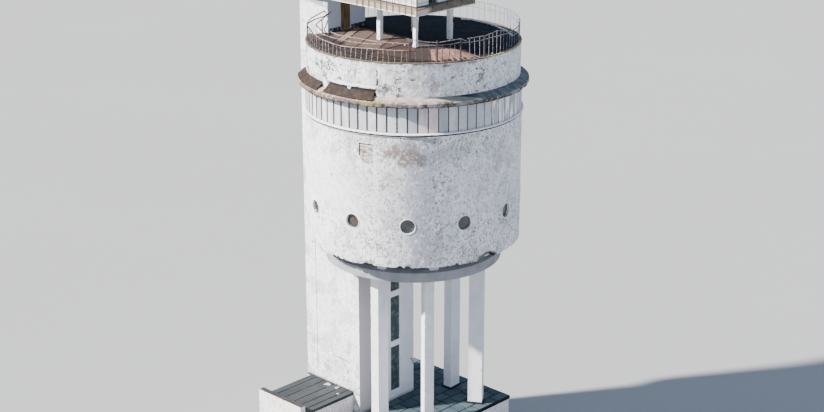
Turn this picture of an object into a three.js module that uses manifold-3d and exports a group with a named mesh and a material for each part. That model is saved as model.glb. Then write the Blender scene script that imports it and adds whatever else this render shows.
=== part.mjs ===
// Water tower: round tank drum on a bearing ring, five concrete pylons and a
// square stair tower, over a one-storey base with an annex. Units mm, +Z up,
// ground at z = 0. Pieces are laid out from the drum axis, annex towards -Y, and
// the finished group is shifted along Y to centre its plan on the origin.
import * as THREE from 'three';
import { mergeVertices } from 'three/addons/utils/BufferGeometryUtils.js';
import Module from 'manifold-3d';

const wasm = await Module();
wasm.setup();

// Plan sizes
const DRUM_R = 7000;            // outer radius of the tank drum
const DRUM_WALL = 300;          // thickness of the drum wall
const BAND_R = 6960;            // face of the panel band
const SILL_R = 7090;            // moulding under the panel band
const CORNICE_R = 7413;         // outer rim of the sloping cornice
const PARAPET_R = 6870;         // ring wall above the cornice
const RING_R = 5800;            // bearing ring under the tank
const RING_IN = 3000;
const RING_PARTS = [[-70, 111.7], [111.75, 260]];   // arcs, degrees from -Y towards +X
const PARAPET_IN = 6570;        // inner radius of cornice and ring wall
const FACETS = 96;              // flats round the drum
const FACET_TURN = -4.14;       // degrees, so that bay edges fall on flats
const QUARTER_START = -64.14;   // drum wall quarters, from inside the shaft's corner
const HALF_START = -60.4;       // halves of the rings above, from the same corner
const SEAM = 0.001;             // degrees left open on each side of a joint
const PLAN_SHIFT = 563.6;       // drum axis to the middle of the whole plan

// Levels
const BASE_ROOF = 3600;
const ANNEX_ROOF = 5040;
const ANNEX_KERB = 5560;
const RING_LOW = 14807;
const RING_TOP = 15430;
const TANK_LOW = 16277;
const FLOOR_TOP = 16577;
const PORT_Z = 18965;
const SILL_LOW = 24680;
const BAND_TOP = 26600;
const CORNICE_TOP = 27148;
const PARAPET_TOP = 29213;
const DECK_TOP = 29570;
const PLATFORM_LOW = 31845;
const PLATFORM_TOP = 32295;
const CABIN_TOP = 34895;
const CABIN_ROOF_TOP = 35145;

// Stair tower and shaft, as [x0, x1, y0, y1]
const TOWER = [-6580, -1421, -3738, 1526];
const TOWER_WALL = 380;
const SHAFT = [-6580, -3948, -3738, -371];
const SHAFT_WALL = 250;
const STAIR_WINDOW = [-749, 170];
const STAIR_PANES = [[4279, 7562], [7975, 11223], [11636, 14700]];
const SPANDREL = 100;           // wall in front of the stair window's sheet of glass
const REBATE = 60;              // recess of that sheet past the openings
const DECK_DOOR = [-2562, -1715];
const DECK_DOOR_H = 2030;
const DOOR_SET = 70;            // door leaf behind the face of the shaft
const DOOR_LEAF = 50;

// Base and annex
const BASE_EAST = 3920;
const BASE_SOUTH = -5495;
const BASE_NORTH = 5495;
const BASE_WALL = 400;
const ANNEX = [-6195, -2072, -8540];
const ROOF_SLAB = 220;
const ROOF_EDGE = 60;           // felt roof past the base walls

// Pylons: centre x, y and turn of the outer face in degrees from -Y
const PYLON_W = 650;
const PYLON_L = 990;
const PYLONS = [[700, -3930, 4], [3190, -1990, 57], [2905, 3150, 121],
  [-20, 3900, 184], [-4001, 2310, 240]];

// Bearing stubs, portholes, railing
const STUB_R = 5180;
const STUB_W = 560;
const STUB_L = 500;
const STUB_FIRST = -14.25;
const STUB_STEP = 36;
const STUB_COUNT = 8;
const PORT_R = 468;
const PORT_FIRST = -49.14;
const PORT_STEP = 30;
const PORT_COUNT = 11;          // the twelfth bay is the stair shaft's
const PANE_SET = 190;           // middle of the porthole glass behind the drum's face
const PANE = 24;
const RAIL_R = 6740;
const RAIL_SPAN = [-55, 264];
const RAIL_POSTS = 16;
const RAIL_H = 1250;
const RAIL_MID = 700;
const RAIL_BAR = 44;
const RAIL_POST = 50;

// Deck, falling to a flat rim that carries the railing
const DECK_R = 6800;
const DECK_FLAT = 6680;
const DECK_CROWN = 5500;
const DECK_RIM = 70;

// Upper platform and cabin
const PLATFORM = [-7000, 4200, -4130, 1232];
const POST_W = 300;
const POSTS = [[-238, -2772], [2835, -2772], [2835, 322], [-238, 322]];
const CABIN = [-6580, 3850, -3738, -640];
const CABIN_WALL = 200;
const CABIN_DOOR = [-2690, -1890];
const CABIN_DOOR_H = 2100;
const CABIN_EAVES = 150;
const GUARD_BAR = 30;           // bars fixed to the outer faces of the platform
const GUARD_INSET = 4;          // rails thinner than the bars by this on each side
const GUARD_FRONT = -900;       // left end of the bars on the front face
const GUARD_STEP = 520;
const GUARD_SIDE_STEP = 1315;
const GUARD_RAILS = [365, 735, 1100];

const GAP = 0.3;                // clearance between pieces that meet

const rad = (deg) => deg * Math.PI / 180;

const material = (color, roughness, metalness = 0) =>
  new THREE.MeshStandardMaterial({ color, roughness, metalness });
const PLASTER = material(0xe4e2df, 0.9);
const PANEL = material(0xcfd2d6, 0.85);
const CORNICE = material(0xb9a79a, 0.9);
const CONCRETE = material(0xa9adb4, 0.92);
const FELT = material(0x3f5663, 0.95);
const SHEET = material(0x8f9296, 0.7, 0.2);
const GLASS = material(0x3a4648, 0.15);
const DOOR = material(0x6b5b45, 0.75);
const RUST = material(0x9a8078, 0.8, 0.3);

const root = new THREE.Group();
root.name = 'water_tower';
root.position.y = PLAN_SHIFT;

function toSolid(geometry) {
  const g = geometry.clone();
  g.deleteAttribute('normal');
  g.deleteAttribute('uv');
  const m = mergeVertices(g, 1e-4);
  const corners = [];
  for (let i = 0; i < m.index.count; i += 3) {
    const [a, b, c] = [0, 1, 2].map((k) => m.index.getX(i + k));
    if (a !== b && b !== c && c !== a) corners.push(a, b, c);
  }
  const mesh = new wasm.Mesh({
    numProp: 3,
    vertProperties: new Float32Array(m.attributes.position.array),
    triVerts: new Uint32Array(corners),
  });
  return new wasm.Manifold(mesh);
}

function add(name, solid, mat) {
  const mesh = solid.getMesh();
  const g = new THREE.BufferGeometry();
  g.setAttribute('position', new THREE.BufferAttribute(new Float32Array(mesh.vertProperties), 3));
  g.setIndex(new THREE.BufferAttribute(new Uint32Array(mesh.triVerts), 1));
  g.computeVertexNormals();
  const part = new THREE.Mesh(g, mat);
  part.name = name;
  root.add(part);
}

function box(x0, x1, y0, y1, z0, z1) {
  const g = new THREE.BoxGeometry(x1 - x0, y1 - y0, z1 - z0);
  g.translate((x0 + x1) / 2, (y0 + y1) / 2, (z0 + z1) / 2);
  return toSolid(g);
}

// Upright prism over a plan outline given as [x, y] corners
function prism(outline, z0, z1) {
  const shape = new THREE.Shape(outline.map(([x, y]) => new THREE.Vector2(x, y)));
  const g = new THREE.ExtrudeGeometry(shape, { depth: z1 - z0, bevelEnabled: false });
  g.translate(0, 0, z0);
  return toSolid(g);
}

// Profile of [radius, z] points turned round the drum axis: a profile that
// starts on the axis ends there, and any other closes on itself
function turned(profile) {
  const pts = profile.map(([r, z]) => new THREE.Vector2(r, z));
  if (pts[0].x > 0) pts.push(pts[0].clone());
  const g = new THREE.LatheGeometry(pts, FACETS);
  g.rotateX(Math.PI / 2);
  g.rotateZ(rad(FACET_TURN));
  return toSolid(g);
}

// Wedge of plan between two directions, measured from -Y towards +X
function wedge(from, to, z0, z1) {
  const far = 20000;
  const outline = [[0, 0]];
  const steps = Math.ceil((to - from) / 45);
  for (let i = 0; i <= steps; i += 1) {
    const a = rad(from + (to - from) * i / steps);
    outline.push([far * Math.sin(a), -far * Math.cos(a)]);
  }
  return prism(outline, z0, z1);
}

// Box standing on a radius of the drum, its outer face turned to angle deg
function radialBox(w, l, z0, z1, x, y, deg) {
  const g = new THREE.BoxGeometry(w, l, z1 - z0);
  g.rotateZ(rad(deg));
  g.translate(x, y, (z0 + z1) / 2);
  return toSolid(g);
}

const grown = ([x0, x1, y0, y1], by, z0, z1) => box(x0 - by, x1 + by, y0 - by, y1 + by, z0, z1);
const TOP = 40000;

// Base walls run from the annex round to the back of the stair tower
const [tx0, tx1, ty0, ty1] = TOWER;
const [ax0, ax1, ay0] = ANNEX;
const w = BASE_WALL;
const baseWallTop = BASE_ROOF - ROOF_SLAB - GAP;
add('base_walls', prism([
  [ax1 + GAP, BASE_SOUTH], [BASE_EAST, BASE_SOUTH], [BASE_EAST, BASE_NORTH], [tx0, BASE_NORTH],
  [tx0, ty1 + GAP], [tx0 + w, ty1 + GAP], [tx0 + w, BASE_NORTH - w], [BASE_EAST - w, BASE_NORTH - w],
  [BASE_EAST - w, BASE_SOUTH + w], [ax1 + GAP, BASE_SOUTH + w]], 0, baseWallTop), PLASTER);
const [eastEdge, southEdge, northEdge] = [BASE_EAST + ROOF_EDGE, BASE_SOUTH - ROOF_EDGE,
  BASE_NORTH + ROOF_EDGE];
add('base_roof', prism([
  [ax1 + GAP, southEdge], [eastEdge, southEdge], [eastEdge, northEdge], [tx0, northEdge],
  [tx0, ty1 + GAP], [tx1 + GAP, ty1 + GAP], [tx1 + GAP, ty0 - GAP], [ax1 + GAP, ty0 - GAP]],
BASE_ROOF - ROOF_SLAB, BASE_ROOF), FELT);

// Annex in front of the stair tower, its front wall rising as a kerb
const annexWalls = prism([
  [ax0, ty0 - GAP], [ax0, ay0], [ax1, ay0], [ax1, ty0 - GAP], [ax1 - w, ty0 - GAP],
  [ax1 - w, ay0 + w], [ax0 + w, ay0 + w], [ax0 + w, ty0 - GAP]], 0, ANNEX_KERB)
  .subtract(box(ax0 - 10, ax1 + 10, ay0 + w, ty0 + 10, ANNEX_ROOF - ROOF_SLAB - GAP, TOP));
add('annex_walls', annexWalls, PLASTER);
add('annex_roof', box(ax0, ax1, ay0 + w + GAP, ty0 - GAP, ANNEX_ROOF - ROOF_SLAB, ANNEX_ROOF), SHEET);

// Stair tower below the tank, open inside, with the tall window in its right face
const [wy0, wy1] = STAIR_WINDOW;
const [wz0, wz1] = [STAIR_PANES[0][0], STAIR_PANES[2][1]];
let tower = box(tx0, tx1, ty0, ty1, 0, TANK_LOW - GAP)
  .subtract(box(tx0 + TOWER_WALL, tx1 - TOWER_WALL, ty0 + TOWER_WALL, ty1 - TOWER_WALL, -10, TOP))
  .subtract(box(tx1 - TOWER_WALL - 50, tx1 - SPANDREL, wy0 - REBATE, wy1 + REBATE, wz0 - REBATE,
    wz1 + REBATE));
for (const [z0, z1] of STAIR_PANES) {
  tower = tower.subtract(box(tx1 - SPANDREL - 50, tx1 + 50, wy0, wy1, z0, z1));
}
add('tower_walls', tower, PLASTER);
const glassFace = tx1 - SPANDREL - GAP;
add('tower_window_glass', box(glassFace - PANE, glassFace, wy0 - REBATE + GAP, wy1 + REBATE - GAP,
  wz0 - REBATE + GAP, wz1 + REBATE - GAP), GLASS);

// Stair shaft through the tank up to the platform, with the deck door
const [sx0, sx1, sy0, sy1] = SHAFT;
const shaft = box(sx0, sx1, sy0, sy1, TANK_LOW, PLATFORM_LOW - GAP)
  .subtract(box(sx0 + SHAFT_WALL, sx1 - SHAFT_WALL, sy0 + SHAFT_WALL, sy1 - SHAFT_WALL, 0, TOP))
  .subtract(box(sx1 - SHAFT_WALL - 50, sx1 + 50, DECK_DOOR[0], DECK_DOOR[1], DECK_TOP + GAP,
    DECK_TOP + GAP + DECK_DOOR_H));
add('shaft_walls', shaft, PLASTER);
add('deck_door', box(sx1 - DOOR_SET - DOOR_LEAF, sx1 - DOOR_SET, DECK_DOOR[0] + GAP,
  DECK_DOOR[1] - GAP, DECK_TOP + 2 * GAP, DECK_TOP + DECK_DOOR_H), DOOR);

// Pylons between the base roof and the bearing ring
PYLONS.forEach(([x, y, turn], i) => {
  add(`pylon_${i + 1}`, radialBox(PYLON_W, PYLON_L, BASE_ROOF + GAP, RING_LOW - GAP, x, y, turn), CONCRETE);
});

// Bearing ring in two arcs, each with the stubs that carry the tank floor
const ring = turned([[RING_IN, RING_LOW], [RING_R, RING_LOW], [RING_R, RING_TOP], [RING_IN, RING_TOP]])
  .subtract(grown(TOWER, GAP, 0, TOP));
RING_PARTS.forEach(([from, to], i) => {
  let part = ring.intersect(wedge(from, to, RING_LOW - 10, RING_TOP + 10));
  for (let k = 0; k < STUB_COUNT; k += 1) {
    const a = STUB_FIRST + k * STUB_STEP;
    if (a > from && a < to) {
      part = part.add(radialBox(STUB_W, STUB_L, RING_TOP - 100, TANK_LOW - GAP,
        STUB_R * Math.sin(rad(a)), -STUB_R * Math.cos(rad(a)), a));
    }
  }
  add(`bearing_ring_${i + 1}`, part, CONCRETE);
});

// Tank floor
const shaftCut = grown(SHAFT, GAP, 0, TOP);
add('tank_floor', turned([[0, TANK_LOW], [DRUM_R, TANK_LOW], [DRUM_R, FLOOR_TOP], [0, FLOOR_TOP]])
  .subtract(shaftCut), CONCRETE);

// Drum wall in four quarters with portholes, and the porthole glass
const rIn = DRUM_R - DRUM_WALL;
const drumRing = turned([[rIn, FLOOR_TOP + GAP], [DRUM_R, FLOOR_TOP + GAP], [DRUM_R, SILL_LOW - GAP],
  [rIn, SILL_LOW - GAP]]);
const bay = (from, to, solid) => solid.intersect(wedge(from, to, 0, TOP)).subtract(shaftCut);
const disc = (a, r, depth, at) => {
  const g = new THREE.CylinderGeometry(r, r, depth, 40);
  g.translate(0, -at, 0);
  g.rotateZ(rad(a));
  g.translate(0, 0, PORT_Z);
  return toSolid(g);
};
const ports = Array.from({ length: PORT_COUNT }, (_, k) => PORT_FIRST + k * PORT_STEP);
for (let q = 0; q < 4; q += 1) {
  const from = QUARTER_START + 90 * q;
  let part = bay(from + SEAM, from + 90 - SEAM, drumRing);
  for (const a of ports) {
    if (a > from && a < from + 90) {
      part = part.subtract(disc(a, PORT_R, 3 * DRUM_WALL, DRUM_R - DRUM_WALL / 2));
    }
  }
  add(`drum_wall_${q + 1}`, part, PLASTER);
}
ports.forEach((a, i) => {
  add(`porthole_glass_${i + 1}`, disc(a, PORT_R - GAP, PANE, DRUM_R - PANE_SET), GLASS);
});

// Panel band with its sill, cornice and ring wall above, each in two halves
const rings = {
  panel_band: [[[rIn, SILL_LOW], [SILL_R, SILL_LOW], [SILL_R, SILL_LOW + 120],
    [SILL_R - 60, SILL_LOW + 190], [BAND_R, SILL_LOW + 200], [BAND_R, BAND_TOP], [rIn, BAND_TOP]], PANEL],
  cornice: [[[PARAPET_IN, BAND_TOP + GAP], [CORNICE_R - 50, BAND_TOP + GAP], [CORNICE_R, BAND_TOP + 50],
    [CORNICE_R, BAND_TOP + 268], [PARAPET_R, CORNICE_TOP], [PARAPET_IN, CORNICE_TOP]], CORNICE],
  parapet: [[[PARAPET_IN, CORNICE_TOP + GAP], [PARAPET_R, CORNICE_TOP + GAP], [PARAPET_R, PARAPET_TOP],
    [PARAPET_IN, PARAPET_TOP]], PLASTER],
};
for (const [name, [profile, mat]] of Object.entries(rings)) {
  const whole = turned(profile);
  for (const half of [0, 1]) {
    const from = HALF_START + 180 * half;
    add(`${name}_${half + 1}`, bay(from + SEAM, from + 180 - SEAM, whole), mat);
  }
}

// Deck
const railBase = PARAPET_TOP + DECK_RIM;
add('deck', turned([[0, PARAPET_TOP + GAP], [DECK_R, PARAPET_TOP + GAP], [DECK_R, railBase],
  [DECK_FLAT, railBase], [DECK_CROWN, DECK_TOP], [0, DECK_TOP]]).subtract(shaftCut), FELT);

// Railing round the rim in two arcs
const [railIn, railOut] = [RAIL_R - RAIL_BAR / 2, RAIL_R + RAIL_BAR / 2];
const railRing = (z) => turned([[railIn, z], [railOut, z], [railOut, z + RAIL_BAR],
  [railIn, z + RAIL_BAR]]);
const rails = railRing(railBase + RAIL_H - RAIL_BAR).add(railRing(railBase + RAIL_MID));
const railMid = (RAIL_SPAN[0] + RAIL_SPAN[1]) / 2;
[[RAIL_SPAN[0], railMid - 0.2], [railMid + 0.2, RAIL_SPAN[1]]].forEach(([from, to], i) => {
  let part = rails.intersect(wedge(from, to, railBase - 10, railBase + RAIL_H + 10));
  for (let k = 0; k < RAIL_POSTS; k += 1) {
    const a = from + 0.4 + (to - from - 0.8) * k / (RAIL_POSTS - 1);
    part = part.add(radialBox(RAIL_POST, RAIL_POST, railBase + GAP, railBase + RAIL_H,
      RAIL_R * Math.sin(rad(a)), -RAIL_R * Math.cos(rad(a)), a));
  }
  add(`deck_railing_${i + 1}`, part, RUST);
});

// Upper platform on four posts and the shaft, with the cabin
POSTS.forEach(([x, y], i) => {
  const h = POST_W / 2;
  add(`deck_post_${i + 1}`, box(x - h, x + h, y - h, y + h, DECK_TOP + GAP, PLATFORM_LOW - GAP), PLASTER);
});
add('platform_slab', box(...PLATFORM, PLATFORM_LOW, PLATFORM_TOP), CONCRETE);

// Bars on the platform's front and right faces, joined by three rails
const [, px1, py0, py1] = PLATFORM;
const guardTop = PLATFORM_TOP + GUARD_RAILS[2];
const frontBar = (x0, x1, z0, z1, inset = 0) =>
  box(x0, x1, py0 - GAP - GUARD_BAR + inset, py0 - GAP - inset, z0, z1);
const sideBar = (y0, y1, z0, z1, inset = 0) =>
  box(px1 + GAP + inset, px1 + GAP + GUARD_BAR - inset, y0, y1, z0, z1);
let guard = sideBar(py0 - GAP - GUARD_BAR, py0 - GAP, PLATFORM_LOW + GUARD_BAR, guardTop);
for (const level of GUARD_RAILS) {
  const [z0, z1] = [PLATFORM_TOP + level - GUARD_BAR, PLATFORM_TOP + level - GUARD_INSET];
  guard = guard.add(frontBar(GUARD_FRONT + GUARD_INSET, px1 + GUARD_BAR / 2, z0, z1, GUARD_INSET))
    .add(sideBar(py0 - GUARD_BAR / 2, py1 - GUARD_INSET, z0, z1, GUARD_INSET));
}
for (let x = GUARD_FRONT; x < px1; x += GUARD_STEP) {
  guard = guard.add(frontBar(x, x + GUARD_BAR, PLATFORM_LOW + GUARD_BAR, guardTop));
}
for (let y = py1 - GUARD_BAR; y > py0; y -= GUARD_SIDE_STEP) {
  guard = guard.add(sideBar(y, y + GUARD_BAR, PLATFORM_TOP - 4 * GUARD_BAR, guardTop));
}
add('platform_railing', guard, RUST);

const [cx0, cx1, cy0, cy1] = CABIN;
const cabin = box(...CABIN, PLATFORM_TOP + GAP, CABIN_TOP)
  .subtract(box(cx0 + CABIN_WALL, cx1 - CABIN_WALL, cy0 + CABIN_WALL, cy1 - CABIN_WALL, 0, TOP))
  .subtract(box(cx1 - CABIN_WALL - 50, cx1 + 50, CABIN_DOOR[0], CABIN_DOOR[1], PLATFORM_TOP - 10,
    PLATFORM_TOP + CABIN_DOOR_H));
add('cabin_walls', cabin, PLASTER);
add('cabin_roof', grown(CABIN, CABIN_EAVES, CABIN_TOP + GAP, CABIN_ROOF_TOP), SHEET);

export default root;
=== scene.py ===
import math

import bpy
import numpy as np
from bpy.props import FloatProperty, FloatVectorProperty, PointerProperty
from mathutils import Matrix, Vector


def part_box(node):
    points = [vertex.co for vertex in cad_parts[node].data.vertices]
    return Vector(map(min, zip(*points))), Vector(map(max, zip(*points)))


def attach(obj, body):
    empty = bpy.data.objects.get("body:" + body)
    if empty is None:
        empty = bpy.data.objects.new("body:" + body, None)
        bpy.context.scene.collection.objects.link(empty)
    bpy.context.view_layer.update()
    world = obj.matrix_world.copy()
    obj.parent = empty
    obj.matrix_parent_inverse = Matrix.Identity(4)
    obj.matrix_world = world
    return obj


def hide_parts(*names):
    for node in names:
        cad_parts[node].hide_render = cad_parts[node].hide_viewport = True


bl_info = {
    "name": "Water Tower",
    "version": (1, 0, 0),
    "blender": (4, 5, 0),
    "location": "3D View > Sidebar > Water Tower",
    "description": "Dresses a plastered water tower: walls, facing band, ledge, roof deck and finishes",
    "category": "Add Mesh",
}

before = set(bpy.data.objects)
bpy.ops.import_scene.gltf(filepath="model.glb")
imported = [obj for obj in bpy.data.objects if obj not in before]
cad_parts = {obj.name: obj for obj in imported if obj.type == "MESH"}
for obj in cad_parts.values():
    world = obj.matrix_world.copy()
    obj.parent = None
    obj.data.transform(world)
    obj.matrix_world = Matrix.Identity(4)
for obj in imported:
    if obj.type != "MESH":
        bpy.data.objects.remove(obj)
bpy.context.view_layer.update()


# Sizes read from the frame, in metres, azimuths in degrees from -Y towards +X


def corners(node):
    """Lowest and highest corner of a CAD node as arrays."""
    low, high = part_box(node)
    return np.array(low), np.array(high)


FLOOR_LOW, FLOOR_HIGH = corners("tank_floor")
AXIS = (FLOOR_LOW + FLOOR_HIGH)[:2] / 2
DRUM_R = (FLOOR_HIGH - FLOOR_LOW)[0] / 2
TANK_LOW, TANK_FLOOR = FLOOR_LOW[2], FLOOR_HIGH[2]
SHAFT_LOW, SHAFT_HIGH = corners("shaft_walls")
TOWER_LOW, TOWER_HIGH = corners("tower_walls")
FRONT = AXIS[1] - SHAFT_LOW[1]
LEFT = AXIS[0] - SHAFT_LOW[0]
BAND_LOW, BAND_TOP = (corner[2] for corner in corners("panel_band_1"))
LEDGE_TOP = corners("cornice_1")[1][2]
LEDGE_R = corners("cornice_1")[1][0] - AXIS[0]
PARAPET_R = corners("parapet_1")[1][0] - AXIS[0]
PARAPET_TOP = corners("parapet_1")[1][2]
DECK_R = corners("deck")[1][0] - AXIS[0]
DECK_TOP = corners("deck")[1][2]
SLAB_LOW, SLAB_HIGH = corners("platform_slab")
CABIN_LOW, CABIN_HIGH = corners("cabin_walls")
BASE_LOW, BASE_HIGH = corners("base_roof")
ANNEX_LOW, ANNEX_HIGH = corners("annex_walls")
ANNEX_ROOF = corners("annex_roof")[1][2]
PORT_LOW, PORT_HIGH = corners("porthole_glass_6")

WALL = 0.3              # thickness of the drum's wall
SHELL_WALL = 0.25       # thickness of the shaft's walls
STAIR_WALL = 0.38       # thickness of the stair tower's walls
TUCK = 0.06             # how far round pieces run into the shaft's walls
MITRE_LAP = 0.03        # how far the backs of two wall slabs run into each other at a corner
PORT_R = (PORT_HIGH[2] - PORT_LOW[2]) / 2
PORT_Z = (PORT_HIGH[2] + PORT_LOW[2]) / 2
PORT_AZIMUTHS = -49.14 + 30 * np.arange(11)


# Shapes: arrays of points with arrays of face corners


def smooth(values, low, high):
    """Smooth step: none at low, all at high, with level ends."""
    share = np.clip((np.asarray(values, float) - low) / (high - low), 0, 1)
    return share * share * (3 - 2 * share)


def ripple(u, v, size, seed):
    """Value noise: random heights from -1 to 1 on a lattice of cells of the given size, joined by
    smooth steps in both directions. The lattice repeats after 64 cells."""
    heights = np.random.default_rng(seed).uniform(-1, 1, (64, 64))
    u, v = np.asarray(u, float) / size, np.asarray(v, float) / size
    column, row = np.floor(u).astype(int), np.floor(v).astype(int)
    across, up = smooth(u - column, 0, 1), smooth(v - row, 0, 1)
    low = heights[column % 64, row % 64] * (1 - across) + heights[(column + 1) % 64, row % 64] * across
    row = row + 1
    high = heights[column % 64, row % 64] * (1 - across) + heights[(column + 1) % 64, row % 64] * across
    return low * (1 - up) + high * up


def fractal(u, v, size, seed, octaves=4):
    """Sum of ripples, each half the size and 0.55 of the height of the one before."""
    total = sum(0.55 ** k * ripple(u, v, size / 2 ** k, seed + k) for k in range(octaves))
    return total / sum(0.55 ** k for k in range(octaves))


def polar(azimuth, radius, z):
    """Points at an azimuth and radius from the drum's axis, at height z."""
    turn = np.radians(azimuth)
    x = AXIS[0] + radius * np.sin(turn)
    y = AXIS[1] - radius * np.cos(turn)
    return np.stack(np.broadcast_arrays(x, y, z), axis=-1).reshape(-1, 3)


def radius_of(x, y):
    """Distance from the drum's axis in plan."""
    return np.hypot(x - AXIS[0], y - AXIS[1])


def azimuth_of(x, y):
    """Azimuth of a place in plan, from -180 to 180 degrees."""
    return np.degrees(np.arctan2(x - AXIS[0], AXIS[1] - y))


def azimuths(shares, radius):
    """Azimuths at shares of the way round the drum, from just inside the shaft's front face to just
    inside its left face at that radius."""
    first = -np.degrees(np.arccos((FRONT - TUCK) / radius))
    last = 360 - np.degrees(np.arcsin(np.minimum((LEFT - TUCK) / radius, 1)))
    return first + shares * (last - first)


def cells(index):
    """Corners of the cells of a lattice of point numbers."""
    return np.stack([index[:-1, :-1], index[:-1, 1:], index[1:, 1:], index[1:, :-1]], axis=-1).reshape(-1, 4)


def grid_faces(rows, columns):
    """Corners of the cells of a grid of points stored row by row."""
    return cells(np.arange(rows * columns).reshape(rows, columns))


def volume(points, groups):
    """Six times the volume: sum over each face's fan of triangles of the triple product."""
    total = 0.0
    for faces in groups:
        for k in range(1, faces.shape[1] - 1):
            a, b, c = points[faces[:, 0]], points[faces[:, k]], points[faces[:, k + 1]]
            total += np.einsum("ij,ij->", a, np.cross(b, c))
    return total


def outward(points, groups):
    """Turns a closed surface over if its faces point inwards."""
    if volume(points - points.mean(axis=0), groups) < 0:
        groups = [faces[:, ::-1] for faces in groups]
    return points, groups


def joined(shapes):
    """One shape from several: points end to end, face corners moved up by the points before."""
    points, groups, start = [], {}, 0
    for shape_points, shape_groups in shapes:
        for faces in shape_groups:
            groups.setdefault(faces.shape[1], []).append(faces + start)
        points.append(shape_points)
        start += len(shape_points)
    return np.concatenate(points), [np.concatenate(faces) for faces in groups.values()]


def shell(outer, inner, faces):
    """Closed wall between two sheets of points with the same faces: the outer sheet, the inner one
    turned over, and a strip along each edge that only one face has."""
    count = len(outer)
    start, end = faces.astype(np.int64), np.roll(faces, -1, axis=1).astype(np.int64)
    free = ~np.isin(start * count + end, end * count + start)
    a, b = start[free], end[free]
    strips = np.stack([b, a, a + count, b + count], axis=1)
    faces = np.concatenate([faces, faces[:, ::-1] + count, strips])
    return outward(np.concatenate([outer, inner]), [faces])


def doubled(attributes):
    """Point attributes of one sheet, said again for the other sheet of its shell."""
    return {label: np.tile(values, 2) for label, values in attributes.items()}


def boxes(points):
    """Boxes from rows of eight corners, four round one end and four round the other."""
    sides = np.array([[3, 2, 1, 0], [4, 5, 6, 7], [0, 1, 5, 4], [1, 2, 6, 5], [2, 3, 7, 6], [3, 0, 4, 7]])
    faces = (sides + 8 * np.arange(len(points))[:, None, None]).reshape(-1, 4)
    return outward(points.reshape(-1, 3), [faces])


def trimmed(u, v, faces, distance, step):
    """Cuts a flat grid along the line where distance(u, v) is 0. Points nearer to the line than half
    a step slide onto it down the slope of the distance, faces past it go, and so do points that no
    face has left. Returns u, v and faces."""
    u, v = u.ravel().copy(), v.ravel().copy()
    away, small = distance(u, v), 0.01
    slope_u = (distance(u + small, v) - distance(u - small, v)) / (2 * small)
    slope_v = (distance(u, v + small) - distance(u, v - small)) / (2 * small)
    steep = np.maximum(slope_u ** 2 + slope_v ** 2, 0.2)
    near = np.abs(away) < 0.5 * step
    u[near] -= (away * slope_u / steep)[near]
    v[near] -= (away * slope_v / steep)[near]
    away[near] = 0
    kept = faces[(away[faces] >= 0).all(axis=1) & (away[faces] > 0).any(axis=1)]
    used, kept = np.unique(kept, return_inverse=True)
    return u[used], v[used], kept.reshape(-1, 4)


def swept(profile, shares, moved=None):
    """Closed profile of [radius, z] points carried round the drum's axis over shares of the way, with
    flat ends. moved(azimuth, radius, z) may return new radii and heights."""
    radius, z = (column[:, None] for column in np.asarray(profile, float).T)
    azimuth = azimuths(shares[None, :], radius)
    radius, z = radius + 0 * azimuth, z + 0 * azimuth
    if moved:
        radius, z = moved(azimuth, radius, z)
    ring = np.arange(azimuth.size).reshape(azimuth.shape)
    ring = np.concatenate([ring, ring[:1]])
    caps = np.stack([ring[:-1, 0], ring[:0:-1, -1]])
    return outward(polar(azimuth, radius, z), [cells(ring), caps])


def refined(profile, step):
    """Closed profile with its sides cut into lengths of about one step."""
    points = []
    for start, end in zip(profile, profile[1:] + profile[:1]):
        parts = max(1, round(math.dist(start, end) / step))
        points += [[start[k] + (end[k] - start[k]) * i / parts for k in (0, 1)] for i in range(parts)]
    return points


def block(low, high, step, relief=0.0, chips=0.0, seed=0, size=0.6):
    """Box whose surface is a lattice: each point moves out along the faces it lies on by a fractal,
    and points on edges move in where a second fractal is high."""
    low, high = np.asarray(low, float), np.asarray(high, float)
    counts = np.maximum(1, np.round((high - low) / step).astype(int)) + 1
    index = np.indices(counts).reshape(3, -1).T
    side = (index == counts - 1).astype(int) - (index == 0).astype(int)
    surface = side.any(axis=1)
    number = np.full(len(index), -1)
    number[surface] = np.arange(surface.sum())
    number = number.reshape(counts)
    index, side = index[surface], side[surface]
    points = low + (high - low) * index / (counts - 1)
    u, v = points[:, 0] + 0.73 * points[:, 1], points[:, 2] + 0.31 * points[:, 1]
    lift = relief * (fractal(u, v, size, seed) - 1)
    edge = (side != 0).sum(axis=1) > 1
    lift = lift - edge * chips * (0.15 + smooth(fractal(u, v, size / 2, seed + 20), 0.15, 0.5))
    points = points + side * lift[:, None]
    faces = []
    for axis in range(3):
        for end in (0, -1):
            order = [0, 3, 2, 1] if (end == -1) != (axis == 1) else [1, 2, 3, 0]
            faces.append(cells(number.take(end, axis))[:, order])
    return outward(points, [np.concatenate(faces)])


def turned(shape, degrees, centre):
    """Shape turned about an upright line through centre."""
    sine, cosine = math.sin(math.radians(degrees)), math.cos(math.radians(degrees))
    x, y = (shape[0][:, :2] - centre).T
    plan = np.stack([x * cosine - y * sine, x * sine + y * cosine], axis=1) + centre
    return np.column_stack([plan, shape[0][:, 2]]), shape[1]


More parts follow.
